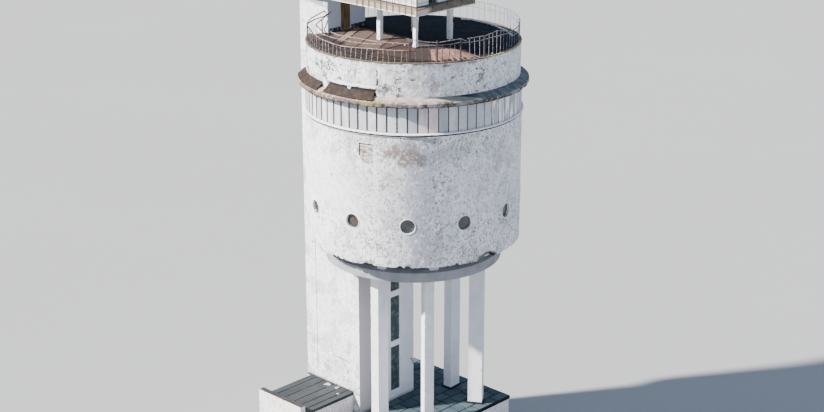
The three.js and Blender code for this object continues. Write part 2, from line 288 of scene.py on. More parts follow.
def bars(starts, ends, width, depth=None):
    """Straight bars of rectangular section: at each end four corners stand off the axis by half the
    width and half the depth, along two directions across it."""
    starts, ends = np.asarray(starts, float).reshape(-1, 3), np.asarray(ends, float).reshape(-1, 3)
    along = ends - starts
    along /= np.linalg.norm(along, axis=1, keepdims=True)
    upright = np.abs(along[:, 2:]) > 0.9
    outwards = np.where(upright, np.column_stack([starts[:, :2] - AXIS, 0 * starts[:, 0]]), [0, 0, 1])
    side = np.cross(along, outwards)
    side /= np.linalg.norm(side, axis=1, keepdims=True)
    up = np.cross(side, along)
    half = np.array([width, depth or width])[:, None] / 2
    signs = np.array([[-1, -1], [1, -1], [1, 1], [-1, 1]])
    offset = signs[:, 0, None, None] * side * half[0] + signs[:, 1, None, None] * up * half[1]
    return boxes(np.concatenate([starts + offset, ends + offset]).transpose(1, 0, 2))


def rod(path, radius, sides=8):
    """Round rod along a path: at each path point a ring of points at the radius, across the mean of
    the directions before and after, closed by a cap at each end."""
    path = np.asarray(path, float)
    along = np.gradient(path, axis=0)
    along /= np.linalg.norm(along, axis=1, keepdims=True)
    helper = np.where(np.abs(along[:, 2:]) > 0.9, [1.0, 0, 0], [0, 0, 1.0])
    side = np.cross(along, helper)
    side /= np.linalg.norm(side, axis=1, keepdims=True)
    up = np.cross(side, along)
    angle = 2 * np.pi * np.arange(sides) / sides
    ring = np.cos(angle)[:, None] * side[:, None] + np.sin(angle)[:, None] * up[:, None]
    points = (path[:, None] + radius * ring).reshape(-1, 3)
    lap = np.arange(len(path) * sides).reshape(len(path), sides)
    caps = np.stack([lap[0, ::-1], lap[-1]])
    return outward(points, [cells(np.column_stack([lap, lap[:, 0]])), caps])


def plate(step, low, high, distance, top, bottom):
    """Flat piece cut from a square grid along the line where distance(x, y) is 0, between the
    heights bottom(x, y) and top(x, y)."""
    columns, rows = (int(round((high[k] - low[k]) / step)) + 1 for k in (0, 1))
    x, y = np.meshgrid(np.linspace(low[0], high[0], columns), np.linspace(low[1], high[1], rows))
    x, y, faces = trimmed(x, y, grid_faces(rows, columns), distance, step)
    upper = np.stack([x, y, top(x, y) + 0 * x], axis=1)
    lower = np.stack([x, y, bottom(x, y) + 0 * x], axis=1)
    return shell(upper, lower, faces)


def marks(u, v, spots, seed, grain=0.25):
    """Ragged ellipses given as (u, v, half width, half height, strength): a smooth step of the
    distance in half sizes plus a fractal, and the strongest mark wins."""
    ragged = 0.5 * fractal(u, v, grain, seed)
    total = np.zeros_like(u)
    for at_u, at_v, wide, high, strength in spots:
        away = np.hypot((u - at_u) / wide, (v - at_v) / high)
        total = np.maximum(total, strength * smooth(1 - away + ragged, 0, 0.45))
    return total


def make_piece(name, shape, finish, slot, replaces=(), smooth_angle=35.0, **attributes):
    """Puts a shape into a mesh with its finish and its point attributes, and joins it to the frame."""
    points, groups = shape
    mesh = bpy.data.meshes.new(name)
    counts = np.concatenate([np.full(len(faces), faces.shape[1]) for faces in groups])
    mesh.vertices.add(len(points))
    mesh.vertices.foreach_set("co", points.astype(np.float32).ravel())
    mesh.loops.add(int(counts.sum()))
    loops = np.concatenate([faces.ravel() for faces in groups])
    mesh.loops.foreach_set("vertex_index", loops.astype(np.int32))
    mesh.polygons.add(len(counts))
    mesh.polygons.foreach_set("loop_start", np.concatenate([[0], np.cumsum(counts)[:-1]]).astype(np.int32))
    mesh.polygons.foreach_set("use_smooth", np.ones(len(counts), bool))
    mesh.update(calc_edges=True)
    mesh.set_sharp_from_angle(angle=math.radians(smooth_angle))
    for label, values in attributes.items():
        layer = mesh.attributes.new(label, "FLOAT", "POINT")
        layer.data.foreach_set("value", np.asarray(values, np.float32))
    mesh.materials.append(finish)
    piece = bpy.data.objects.new(name, mesh)
    bpy.context.scene.collection.objects.link(piece)
    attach(piece, "root")
    if replaces:
        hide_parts(*replaces)


def refinish(finish, *nodes):
    """Gives CAD nodes, whose shapes stay, a new finish."""
    for name in nodes:
        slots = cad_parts[name].data.materials
        slots.clear()
        slots.append(finish)


# Finishes


def paint(red, green, blue):
    """Linear colour from display values of 0 to 255."""
    return tuple((value / 255) ** 2.2 for value in (red, green, blue)) + (1.0,)


class Finish:
    """Node material laid on in coats, which read Object coordinates and point attributes. A colour is
    three display values or the output of a node."""

    def __init__(self, name, colour, roughness=0.9, metallic=0.0, specular=0.25):
        self.material = bpy.data.materials.new(name)
        self.material.use_nodes = True
        self.nodes = self.material.node_tree.nodes
        self.links = self.material.node_tree.links
        self.shader = self.nodes["Principled BSDF"]
        self.shader.inputs["Roughness"].default_value = roughness
        self.shader.inputs["Metallic"].default_value = metallic
        self.shader.inputs["Specular IOR Level"].default_value = specular
        self.place = self.nodes.new("ShaderNodeTexCoord").outputs["Object"]
        self.tone = colour

    def node(self, kind, values, **settings):
        """New node with its settings, its inputs given as numbers or as outputs of other nodes."""
        made = self.nodes.new(kind)
        for key, value in settings.items():
            setattr(made, key, value)
        for key, value in values.items():
            if isinstance(value, bpy.types.NodeSocket):
                self.links.new(value, made.inputs[key])
            else:
                made.inputs[key].default_value = value
        return made

    def clouds(self, size, detail, stretch=(1, 1, 1)):
        """Noise from 0 to 1 with clouds of about that size in metres, longer where stretched."""
        scale = [1 / (size * k) for k in stretch]
        place = self.node("ShaderNodeMapping", {"Vector": self.place, "Scale": scale}).outputs[0]
        return self.node("ShaderNodeTexNoise", {"Vector": place, "Scale": 1.0, "Detail": detail}).outputs[0]

    def step(self, value, low, high, top=1.0, bottom=0.0):
        """Smooth step of a value from bottom at low to top at high."""
        values = {"Value": value, "From Min": low, "From Max": high, "To Min": bottom, "To Max": top}
        return self.node("ShaderNodeMapRange", values, interpolation_type="SMOOTHSTEP").outputs[0]

    def lines(self, size, width, share=1.0):
        """Thin winding lines: where a noise crosses its middle value, in places only."""
        away = self.maths(self.maths(self.clouds(size, 5), 0.5, "SUBTRACT"), 0.0, "ABSOLUTE")
        line = self.step(away, 0.0, width, 0.0, share)
        return self.maths(line, self.step(self.clouds(1.9, 2), 0.44, 0.58))

    def layer(self, name):
        """Value of a point attribute, 0 where the mesh has none."""
        return self.node("ShaderNodeAttribute", {}, attribute_name=name).outputs["Fac"]

    def maths(self, first, second, operation="MULTIPLY"):
        """Two numbers or outputs joined by an operation."""
        return self.node("ShaderNodeMath", {0: first, 1: second}, operation=operation).outputs[0]

    def over(self, under, above, share):
        """Colour above laid over colour under by a share."""
        under, above = (colour if isinstance(colour, bpy.types.NodeSocket) else paint(*colour)
                        for colour in (under, above))
        return self.node("ShaderNodeMix", {0: share, 6: under, 7: above}, data_type="RGBA").outputs[2]

    def coat(self, colour, share):
        """Lays a colour over what is there by a share, or by the value of a named attribute."""
        share = self.layer(share) if isinstance(share, str) else share
        self.tone = self.over(self.tone, colour, share)

    def mottle(self, colour, size, detail, low, high, top=1.0, stretch=(1, 1, 1), strength=None):
        """Coat in clouds, which a strength or the value of a named attribute may weaken."""
        share = self.step(self.clouds(size, detail, stretch), low, high, top)
        strength = self.layer(strength) if isinstance(strength, str) else strength
        self.coat(colour, self.maths(share, strength) if strength else share)

    def done(self, height=None, depth=0.01, roughness=None):
        """Joins the coats, bump height and roughness to the shader and returns the material."""
        self.links.new(self.tone, self.shader.inputs["Base Color"])
        if roughness:
            self.links.new(roughness, self.shader.inputs["Roughness"])
        if height:
            bump = self.node("ShaderNodeBump", {"Height": height, "Distance": depth, "Strength": 0.7})
            self.links.new(bump.outputs[0], self.shader.inputs["Normal"])
        return self.material


def plaster_finish(name, colour, speckle=0.5):
    """Whitewashed plaster: slow clouds, then mottles, specks and runs of grey whose strength grows
    where the mesh says the wall is weathered, hairline cracks, and patches the mesh asks for: stains,
    peeled grey, white wash and dark dirt, and painted shade as a blue-grey coat, as a bluish tint, and
    within the grey and the dark coats."""
    work = Finish(name, colour, roughness=0.92)
    amount = work.maths(work.layer("weather"), speckle, "ADD")
    work.mottle((214, 216, 222), 2.3, 4, 0.4, 0.68, 0.55)
    work.mottle((180, 179, 181), 0.6, 6, 0.47, 0.68, 0.6, strength=amount)
    work.mottle((150, 150, 156), 0.14, 5, 0.5, 0.66, 0.85, (1, 1, 1.8), amount)
    work.mottle((92, 90, 94), 0.13, 3, 0.58, 0.66, 0.95, strength=amount)
    work.mottle((168, 163, 158), 0.3, 4, 0.56, 0.8, 0.4, (1, 1, 8), amount)
    work.coat((112, 108, 108), work.maths(work.lines(0.9, 0.022, 0.8), amount))
    arcs = work.maths(work.lines(0.4, 0.1), work.step(work.clouds(0.5, 3), 0.36, 0.45))
    dots = work.step(work.clouds(0.2, 2), 0.61, 0.65)
    for cracks in (arcs, dots):
        work.coat((58, 56, 58), work.maths(cracks, work.layer("cracked")))
    # painted shade: blue-grey clouds where the mesh asks
    work.mottle((140, 146, 158), 0.3, 5, 0.22, 0.5, strength="damp")
    work.mottle((118, 109, 101), 0.16, 5, 0.27, 0.56, strength="stain")
    # grey of peeled plaster, which on the stair tower's right face is painted shade
    work.coat((148, 145, 146), "bare")
    work.coat((246, 246, 246), "wash")
    # painted shade: a bluish tint where the mesh asks
    work.coat((192, 208, 224), "cool")
    # dark dirt, and painted shade in recesses and on the drum's side away from the sun
    work.coat((44, 42, 44), "grime")
    return work.done(work.clouds(0.09, 6), 0.014)


def panel_finish():
    """Facing panels: blue-grey, each a little lighter or darker, some pinkish, some with their
    paint peeled to white, and dark where the mesh paints shade into the joints."""
    work = Finish("facing_panel", (160, 165, 172), roughness=0.8)
    work.coat((203, 206, 210), "tone")
    work.coat((224, 204, 204), "pink")
    work.mottle((158, 158, 162), 0.4, 5, 0.48, 0.72, 0.7, (1, 1, 4))
    work.mottle((140, 136, 134), 0.12, 4, 0.58, 0.74, 0.6)
    work.mottle((246, 244, 240), 0.25, 4, 0.47, 0.53, 1.0, (1, 1, 5), "peel")
    # painted shade: dark into the joints, where the mesh asks
    work.coat((90, 84, 80), "grime")
    return work.done(work.clouds(0.12, 5), 0.006)


def joint_finish():
    """Dark mortar and dust between panels and under edges."""
    work = Finish("dark_joint", (84, 83, 88), roughness=0.95)
    work.mottle((108, 106, 110), 0.3, 4, 0.45, 0.72)
    return work.done(work.clouds(0.08, 4), 0.006)


def concrete_finish(name, colour, other, grime=(96, 92, 92)):
    """Limewashed concrete: two tones in clouds, specks, faint runs, and pale or mossy places."""
    work = Finish(name, colour)
    work.mottle(other, 0.9, 5, 0.38, 0.68)
    work.mottle(grime, 0.16, 4, 0.64, 0.78, 0.6)
    work.mottle(grime, 0.3, 4, 0.58, 0.8, 0.4, (1, 1, 8))
    work.coat((212, 190, 182), "pale")
    work.mottle((98, 92, 80), 0.3, 5, 0.2, 0.5, strength="moss")
    return work.done(work.clouds(0.08, 6), 0.01)


def ledge_finish(name="ledge_concrete", top=(148, 130, 122), worn=(172, 158, 150), lichens=(122, 112, 66)):
    """Ledge and coping: brownish top, grey or ochre rim, dark broken spots, blue-grey felt and
    lichen, by attribute, with painted shade under the ledge and over part of the felt."""
    work = Finish(name, top, roughness=0.92)
    work.mottle(worn, 0.35, 6, 0.36, 0.66)
    rim = work.over((132, 131, 135), (122, 108, 94), work.layer("warm"))
    rim = work.over(rim, (176, 166, 156), work.step(work.clouds(0.18, 5), 0.54, 0.66, 0.8))
    work.coat(rim, "side")
    # dark broken spots, and painted shade under the ledge
    work.mottle((52, 46, 44), 0.16, 5, 0.3, 0.52, strength="grime")
    work.coat(work.over((72, 81, 86), (98, 106, 112), work.step(work.clouds(0.4, 5), 0.4, 0.65)), "felt")
    # painted shade laid over part of the felt
    work.coat((44, 51, 56), "damp")
    work.mottle(lichens, 0.12, 5, 0.42, 0.56, strength="lichen")
    return work.done(work.clouds(0.1, 6), 0.015)


def rust_sheet_finish(name, colour, other, worn=(176, 158, 146)):
    """Weathered sheet steel: brown with lighter worn clouds, dark pits and rust runs."""
    work = Finish(name, colour, roughness=0.75, metallic=0.1)
    work.mottle(other, 0.35, 6, 0.38, 0.66)
    work.mottle((44, 34, 32), 0.12, 5, 0.6, 0.74, 0.8)
    work.mottle(worn, 0.2, 5, 0.6, 0.72, 0.5, (1, 1, 0.5))
    work.coat(worn, "worn")
    work.coat((36, 32, 34), "grime")
    return work.done(work.clouds(0.1, 6), 0.008)


def felt_finish(name, colour, other, dusty=(110, 120, 126)):
    """Roofing felt: dark blue-grey with lighter, dusty clouds and fine grit."""
    work = Finish(name, colour, specular=0.12)
    work.mottle(other, 1.1, 5, 0.36, 0.7)
    work.mottle(dusty, 0.4, 6, 0.56, 0.75, 0.5)
    work.coat(dusty, "worn")
    work.coat((58, 50, 47), "dust")
    return work.done(work.clouds(0.06, 5), 0.006)


def roof_sheet_finish(name, colour, other, dust=(108, 106, 102)):
    """Grey roofing sheet: two dull greys in clouds along the slope, with dust."""
    work = Finish(name, colour, roughness=0.8, specular=0.2)
    work.mottle(other, 0.7, 5, 0.35, 0.7, stretch=(1, 4, 1))
    work.mottle(dust, 0.25, 5, 0.56, 0.76, 0.6)
    return work.done(work.clouds(0.15, 4), 0.004)


def steel_finish(name, colour, rust):
    """Old railing steel: worn paint over rust in small clouds."""
    work = Finish(name, colour, roughness=0.65, metallic=0.3)
    work.mottle(rust, 0.12, 5, 0.42, 0.58)
    return work.done(work.clouds(0.04, 4), 0.003)


def wood_finish():
    """Brown door boards: long grain down the boards, worn lighter in streaks."""
    work = Finish("door_boards", (92, 72, 50), roughness=0.75)
    grain = work.clouds(0.05, 6, (1, 1, 14))
    work.coat((140, 116, 84), work.step(grain, 0.35, 0.65))
    return work.done(grain, 0.004)


def glass_finish(name, colour, dust):
    """Dark dusty glass: dull tone with grey dust clouds, glossy where clean."""
    work = Finish(name, colour, specular=0.5)
    cover = work.step(work.clouds(0.35, 5), 0.4, 0.7)
    work.coat(dust, cover)
    return work.done(roughness=work.step(cover, 0, 1, 0.5))


def brick_finish():
    """Whitewashed brick: pinkish grey bricks under thin wash, each with its own tone."""
    work = Finish("washed_brick", (216, 212, 207), roughness=0.95)
    work.coat((118, 108, 102), "tone")
    work.mottle((226, 224, 222), 0.16, 5, 0.5, 0.62, 0.5)
    return work.done(work.clouds(0.03, 5), 0.004)


# Settings


class TOWER_PG_walls(bpy.types.PropertyGroup):
    """Plastered walls."""

    plaster: FloatVectorProperty(
        name="Plaster", description="Colour of the whitewash, as display values",
        default=(239, 238, 240), size=3, min=0, max=255)
    step: FloatProperty(
        name="Mesh step", description="Distance between points on the drum's wall",
        default=0.075, min=0.04, unit="LENGTH")
    relief: FloatProperty(
        name="Unevenness", description="Height of the slow waves in the plaster",
        default=0.012, min=0.0, unit="LENGTH")
    port_rim: FloatProperty(
        name="Porthole rim", description="Width of the raised rim round a porthole",
        default=0.04, min=0.01, unit="LENGTH")


class TOWER_PG_band(bpy.types.PropertyGroup):
    """Facing band and ledge."""

    pitch: FloatProperty(
        name="Panel pitch", description="Turn round the axis from one panel to the next, in degrees",
        default=5.217, min=1.0)
    joint: FloatProperty(
        name="Joint", description="Width of the open joint between panels",
        default=0.085, min=0.0, unit="LENGTH")
    chips: FloatProperty(
        name="Edge chips", description="Depth of the broken places along the rim of the ledge",
        default=0.09, min=0.0, unit="LENGTH")


class TOWER_PG_deck(bpy.types.PropertyGroup):
    """Roof deck and railing."""

    bar: FloatProperty(
        name="Baluster", description="Width of a baluster of the deck railing",
        default=0.034, min=0.01, unit="LENGTH")
    rail: FloatProperty(
        name="Rail", description="Thickness of a rail of the deck railing",
        default=0.05, min=0.01, unit="LENGTH")
    pitch: FloatProperty(
        name="Baluster pitch", description="Turn round the axis between balusters, in degrees",
        default=3.1, min=1.0)


class TOWER_PG_base(bpy.types.PropertyGroup):
    """Base, annex and supports."""

    seam: FloatProperty(
        name="Seam", description="Width of the dark seams between the sheets of felt",
        default=0.09, min=0.01, unit="LENGTH")
    felt: FloatProperty(
        name="Felt length", description="Length of a sheet of felt on the base roof",
        default=1.05, min=0.3, unit="LENGTH")


class TOWER_PG_stage(bpy.types.PropertyGroup):
    """Light, floor and camera."""

    sun: FloatProperty(
        name="Sun", description="Strength of the sun", default=18.0, min=0.0)
    sky: FloatProperty(
        name="Sky", description="Strength of the even light from all round", default=0.95, min=0.0)
    sun_azimuth: FloatProperty(
        name="Sun azimuth", description="Direction that the sun stands in, from -Y towards +X",
        default=math.radians(-32.5), subtype="ANGLE")
    sun_height: FloatProperty(
        name="Sun height", description="Angle of the sun above the level",
        default=math.radians(36.6), subtype="ANGLE")
    lens: FloatProperty(
        name="Lens", description="Focal length of the camera in millimetres", default=70.1, min=10.0)
    distance: FloatProperty(
        name="Distance", description="Level distance from the drum's axis to the camera",
        default=100.0, min=20.0, unit="LENGTH")


# Drum


STEM = np.radians(1) * DRUM_R                               # length of one degree on the drum
PATCH_LEFT, PATCH_RIGHT = 15.1 * STEM, 23.1 * STEM          # edges of the bare brick patch
PATCH_LOW, PATCH_HIGH = 22.9, 24.13
BREAK_AT = 85.5                                             # azimuth of a long break in the lower edge


def patch_distance(s, z):
    """Distance into the bare brick patch: a rectangle with its lower left corner cut off, with a
    ragged edge."""
    inside = np.minimum.reduce([s - PATCH_LEFT, PATCH_RIGHT - s, z - PATCH_LOW, PATCH_HIGH - z])
    slant = (s - PATCH_LEFT + (z - PATCH_LOW) * 0.62 - 0.32) / math.hypot(1.0, 0.62)
    return np.minimum(inside, slant) + 0.018 * fractal(s, z, 0.2, 31)


def drum_distance(s, z):
    """Distance outside the portholes and the brick patch along the drum's face."""
    ports = [np.hypot(s - azimuth * STEM, z - PORT_Z) - PORT_R for azimuth in PORT_AZIMUTHS]
    return np.minimum.reduce(ports + [-patch_distance(s, z)])


def bottom_lift(s):
    """How far the broken lower edge of the drum stands up: short notches, a longer break at the
    right and slow waves."""
    waves = 0.03 * fractal(s, 0 * s, 1.3, 41)
    notches = 0.14 * smooth(fractal(s, 0 * s, 0.5, 42), 0.15, 0.5)
    broken = 0.16 * smooth(np.abs(s / STEM - BREAK_AT), 7.5, 5.5)
    broken = broken * smooth(fractal(s, 0 * s, 0.4, 43), -0.3, 0.2)
    return np.clip(waves + notches + broken - 0.02, -0.05, 0.25)


def peeled(s, z):
    """Where a coat of wash has come off: a fractal past a threshold, less above the portholes."""
    ease = smooth(np.abs(z - 20.5), 1.0, 4.5)
    return smooth(fractal(s, z, 1.3, 13) + 0.16 * ease, 0.3, 0.38)


def wall_relief(s, z, height):
    """Slow waves, finer lumps and the step down into peeled places."""
    return height * fractal(s, z, 1.7, 11) + 0.3 * height * fractal(s, z, 0.35, 12) - 0.006 * peeled(s, z)


def round_marks(s, z, spots, seed, grain=0.25):
    """Marks on a round wall, their places given as azimuths and heights."""
    return marks(s, z, [(azimuth * STEM, *rest) for azimuth, *rest in spots], seed, grain)


def drum_marks(s, z):
    """Stain, dirt, peeled plaster and weathering on the drum, from places read along its face, with
    painted shade: a blue-grey band where the sunlit side turns away, and grey clouds on the side away
    from the sun.
    """
    azimuth = s / STEM
    stains = [(35, 23.75, 0.8, 0.62, 0.9), (41, 23.5, 0.95, 0.9, 0.95), (46.5, 23.2, 0.5, 0.65, 0.8),
              (28.4, 21.46, 0.2, 0.45, 0.7), (54.5, 21.5, 0.12, 0.6, 0.6), (34, 21.9, 0.9, 0.8, 0.25),
              (18, 21.6, 0.9, 0.9, 0.2)]
    grimes = [(-3, 21.64, 0.14, 0.16, 0.55), (-1, 18.2, 0.1, 0.1, 0.4), (47.5, 23.3, 0.4, 0.5, 0.25),
              (16.3, 17.66, 0.11, 0.08, 0.55), (19.7, 17.68, 0.13, 0.08, 0.55), (8, 17.2, 0.5, 0.2, 0.15),
              (74, 24.0, 0.15, 0.3, 0.3)]
    grimes += [(at, 22.3, 0.05, 1.6, 0.25) for at in (88, 89.6, 91)]
    worn = [(9, 23.5, 0.25, 1.1, 0.5), (12.5, 22.9, 0.2, 0.8, 0.5), (60, 23.6, 1.5, 0.6, 0.4)]
    # painted shade: grey clouds over the side away from the sun
    shade = 0.16 * smooth(azimuth, 45, 80) * smooth(fractal(s, z * 0.4, 0.45, 51), -0.05, 0.5)
    ragged = smooth(fractal(s, z, 0.5, 52), -0.1, 0.4)
    broken = 0.75 * smooth(np.abs(azimuth - BREAK_AT), 8, 5) * smooth(z, 16.62, 16.5)
    edge = 0.5 * smooth(z, 16.55, 16.3) * ragged + broken
    grime = np.maximum.reduce([round_marks(s, z, grimes, 53, 0.2), shade, edge])
    bare = np.maximum(0.35 * peeled(s, z), round_marks(s, z, worn, 54))
    low = 0.35 * smooth(z, 20, 17.5) + 0.3 * smooth(z, 22.5, 24.5)
    weather = 0.6 * smooth(azimuth, 0, 45) - 0.4 * smooth(azimuth, 54, 62) + low
    # painted shade: a blue-grey band over the azimuths where the sunlit side turns into shade
    damp = np.interp(azimuth, [0, 25, 32, 40, 45, 51, 55.5, 58], [0, 0.1, 0.3, 0.55, 0.8, 0.7, 0.25, 0])
    return dict(damp=damp, stain=round_marks(s, z, stains, 55), grime=grime, bare=bare, weather=weather)


def drum_quarter(walls, number, finish):
    """Quarter of the drum: a grid over the way round and the height, cut at the portholes and the
    brick patch, at the drum's radius plus relief outside and a wall's thickness further in."""
    columns = int(azimuths(1.0, DRUM_R) - azimuths(0.0, DRUM_R)) * STEM / 4 / walls.step
    columns, rows = int(columns) + 1, int((BAND_LOW - TANK_LOW) / walls.step) + 1
    shares = np.linspace(number / 4, (number + 1) / 4, columns)
    azimuth, z = np.meshgrid(azimuths(shares, DRUM_R), np.linspace(TANK_LOW, BAND_LOW, rows))
    s, z, faces = trimmed(azimuth * STEM, z, grid_faces(rows, columns), drum_distance, walls.step)
    level = z + bottom_lift(s) * np.clip(1 - (z - TANK_LOW) / 0.6, 0, 1)
    outer = polar(s / STEM, DRUM_R + wall_relief(s, z, walls.relief) - 0.01, level)
    inner = polar(s / STEM, DRUM_R - WALL, level)
    make_piece(f"drum_plaster_{number + 1}", shell(outer, inner, faces), finish, "plaster",
               [f"drum_wall_{number + 1}"], **doubled(drum_marks(s, z)))


def brick_patch(finish, mortar):
    """Bare bricks in the patch: curved boxes in courses with half-brick offsets, each a few
    millimetres in or out, on a mortar bed."""
    length, height, joint = 0.25, 0.065, 0.028
    left, right = PATCH_LEFT + 0.1, PATCH_RIGHT + 0.05
    low, high = PATCH_LOW - 0.05, PATCH_HIGH - 0.08
    course, along = np.meshgrid(np.arange(low, high, height + joint), np.arange(-1, 5), indexing="ij")
    odd = np.arange(course.shape[0])[:, None] % 2
    start = left + (along + 0.5 * odd) * (length + joint)
    start, course = start.ravel(), course.ravel()
    draw = np.random.default_rng(61)
    out = DRUM_R - 0.035 + draw.uniform(-0.012, 0.008, len(start)) - 0.03 * (draw.random(len(start)) < 0.12)
    corner = np.array([[0, 0], [1, 0], [1, 1], [0, 1]])
    s = np.clip(start[:, None] + corner[:, 0] * length, left, right)
    z = np.minimum(course[:, None] + corner[:, 1] * height, high)
    kept = (s[:, 1] - s[:, 0] > 0.02) & (z[:, 2] - z[:, 0] > 0.01)
    s, z, out = s[kept], z[kept], out[kept]
    front = polar(s / STEM, out[:, None], z).reshape(-1, 4, 3)
    back = polar(s / STEM, DRUM_R - 0.12, z).reshape(-1, 4, 3)
    tone = np.repeat(draw.random(len(s)), 8)
    bricks = boxes(np.concatenate([front, back], axis=1))
    make_piece("brick_patch", bricks, finish, "plaster", tone=tone)
    azimuth, level = np.meshgrid(np.linspace(left - 0.2, right, 9) / STEM, np.linspace(low, high + 0.15, 9))
    bed = shell(polar(azimuth, DRUM_R - 0.1, level), polar(azimuth, DRUM_R - 0.2, level), grid_faces(9, 9))
    make_piece("brick_mortar", bed, mortar, "plaster")


def porthole_rims(walls, finish):
    """Raised rims: round each porthole a rounded profile over an angle, laid on the drum's face."""
    angle = np.linspace(0, 2 * np.pi, 48, endpoint=False)
    across = np.linspace(0, np.pi, 7)
    reach = PORT_R + walls.port_rim * np.append((1 - np.cos(across)) / 2, [1, 0])
    height = np.append(0.004 + 0.016 * np.sin(across), [-0.05, -0.05])
    lap = np.arange(len(reach) * len(angle)).reshape(len(reach), len(angle))
    lap = np.concatenate([lap, lap[:1]])
    faces = cells(np.column_stack([lap, lap[:, 0]]))
    rims = []
    for azimuth in PORT_AZIMUTHS:
        s = azimuth * STEM + reach[:, None] * np.cos(angle)
        z = PORT_Z + reach[:, None] * np.sin(angle)
        rims.append(outward(polar(s / STEM, DRUM_R + height[:, None], z), [faces]))
    make_piece("porthole_rims", joined(rims), finish, "plaster")


def shaft_distance(x, y, margin=0.0):
    """Distance outside the shaft's plan."""
    return np.maximum.reduce([SHAFT_LOW[0] - margin - x, x - SHAFT_HIGH[0] - margin,
                              SHAFT_LOW[1] - margin - y, y - SHAFT_HIGH[1] - margin])


def disc_distance(radius):
    """Distance inside a round plate with the shaft cut out of it."""
    return lambda x, y: np.minimum(radius - radius_of(x, y), shaft_distance(x, y, -0.05))


class TOWER_OT_drum(bpy.types.Operator):
    """Plastered drum with its portholes, the bare brick patch and the underside of the tank"""

    bl_idname = "tower.drum"
    bl_label = "Drum"

    def execute(self, context):
        walls = context.scene.tower_walls
        plaster = plaster_finish("drum_plaster", walls.plaster, speckle=0.45)
        for number in range(4):
            drum_quarter(walls, number, plaster)
        brick_patch(brick_finish(), joint_finish())
        porthole_rims(walls, plaster_finish("rim_paint", (240, 240, 240), speckle=0.2))
        reach = DRUM_R - WALL + 0.02
        under = plate(0.25, AXIS - reach, AXIS + reach, disc_distance(reach), lambda x, y: TANK_FLOOR,
                      lambda x, y: TANK_LOW + 0.01 * fractal(x, y, 0.8, 71) + 0.012)
        concrete = concrete_finish("underside", (206, 207, 211), (188, 190, 194))
        make_piece("tank_underside", under, concrete, "concrete", ["tank_floor"])
        panes = [f"porthole_glass_{number}" for number in range(1, 12)]
        refinish(glass_finish("porthole_glass", (68, 70, 70), (86, 88, 87)), panes[0], *panes[3:])
        refinish(glass_finish("porthole_glass_brown", (56, 51, 48), (74, 68, 64)), *panes[1:3])
        return {"FINISHED"}


# Facing band and ledge


JOINT_AT = 40.77        # azimuth of one joint of the facing band


def band_panels(band, finish):
    """Facing panels: for each, a small grid over its width and height, bulged by a fractal and set
    a few millimetres in or out, closed at the back."""
    first, last = azimuths(0.0, DRUM_R), azimuths(1.0, DRUM_R)
    numbers = np.arange(math.ceil((first - JOINT_AT) / band.pitch) - 1,
                        math.floor((last - JOINT_AT) / band.pitch) + 1)
    radius = DRUM_R - 0.05
    rows, columns = 13, 7
    edge = JOINT_AT + numbers * band.pitch
    gap = math.degrees(band.joint / radius) / 2 * np.interp(edge, [-20, 20, 45, 50], [1.9, 1.5, 1.15, 0.85])
    start = edge + gap
    width = (band.pitch - 2 * gap)[:, None, None]
    azimuth = np.clip(start[:, None, None] + width * np.linspace(0, 1, columns), first, last)
    draw = np.random.default_rng(81)
    shift = draw.uniform(-0.008, 0.008, (len(start), 1, 1))
    lean = draw.uniform(-0.006, 0.006, (len(start), 1, 1))
    up = np.linspace(0, 1, rows)[:, None]
    z = BAND_LOW + 0.25 + (BAND_TOP - BAND_LOW - 0.26) * up + 0 * azimuth
    azimuth = azimuth + 0 * z
    out = radius + shift + lean * (up - 0.5) + 0.004 * fractal(azimuth * STEM, z, 0.5, 82) - 0.004
    points = polar(azimuth, out, z).reshape(len(start), -1, 3)
    back = polar(azimuth, radius - 0.1, z).reshape(len(start), -1, 3)
    faces = grid_faces(rows, columns)
    kept = azimuth[:, 0, -1] - azimuth[:, 0, 0] > 0.5
    shapes = [shell(points[i], back[i], faces) for i in np.flatnonzero(kept)]
    middle = (azimuth[:, 0, 0] + azimuth[:, 0, -1]) / 2
    tone, blush = draw.random(len(start)), draw.random(len(start))
    pink = 0.8 * ((middle > 45.5) & (middle < 56.5)) + 0.15 * blush
    per_panel = dict(tone=tone, pink=pink, peel=(middle > 88) & (middle < 112))
    given = {label: np.repeat(values[kept], 2 * rows * columns) for label, values in per_panel.items()}
    # painted shade: the points at the back of every panel are fully darkened, so each panel's sides darken
    # into the joints; the bottom row at the front is a little darker
    fade = np.repeat(0.35 * (np.abs(up[:, 0] - 0.02) < 0.03), columns)
    given["grime"] = np.tile(np.concatenate([fade, np.ones_like(fade)]), len(shapes))
    make_piece("band_panels", joined(shapes), finish, "panel", ["panel_band_1", "panel_band_2"], **given)


def chipped(amount, rim, reach, seed):
    """Displacement for swept: near a rim radius, points move in and down where a fractal is high."""
    def move(azimuth, radius, z):
        s = azimuth * STEM
        near = smooth(radius, rim - reach, rim)
        bite = amount * smooth(fractal(s, z, 0.35, seed), 0.05, 0.5)
        bite = bite + 0.25 * amount * fractal(s, z, 0.15, seed + 5)
        sag = 0.2 * amount * fractal(s, z * 3, 0.8, seed + 9)
        return radius - near * np.maximum(bite, 0), z + sag * near
    return move


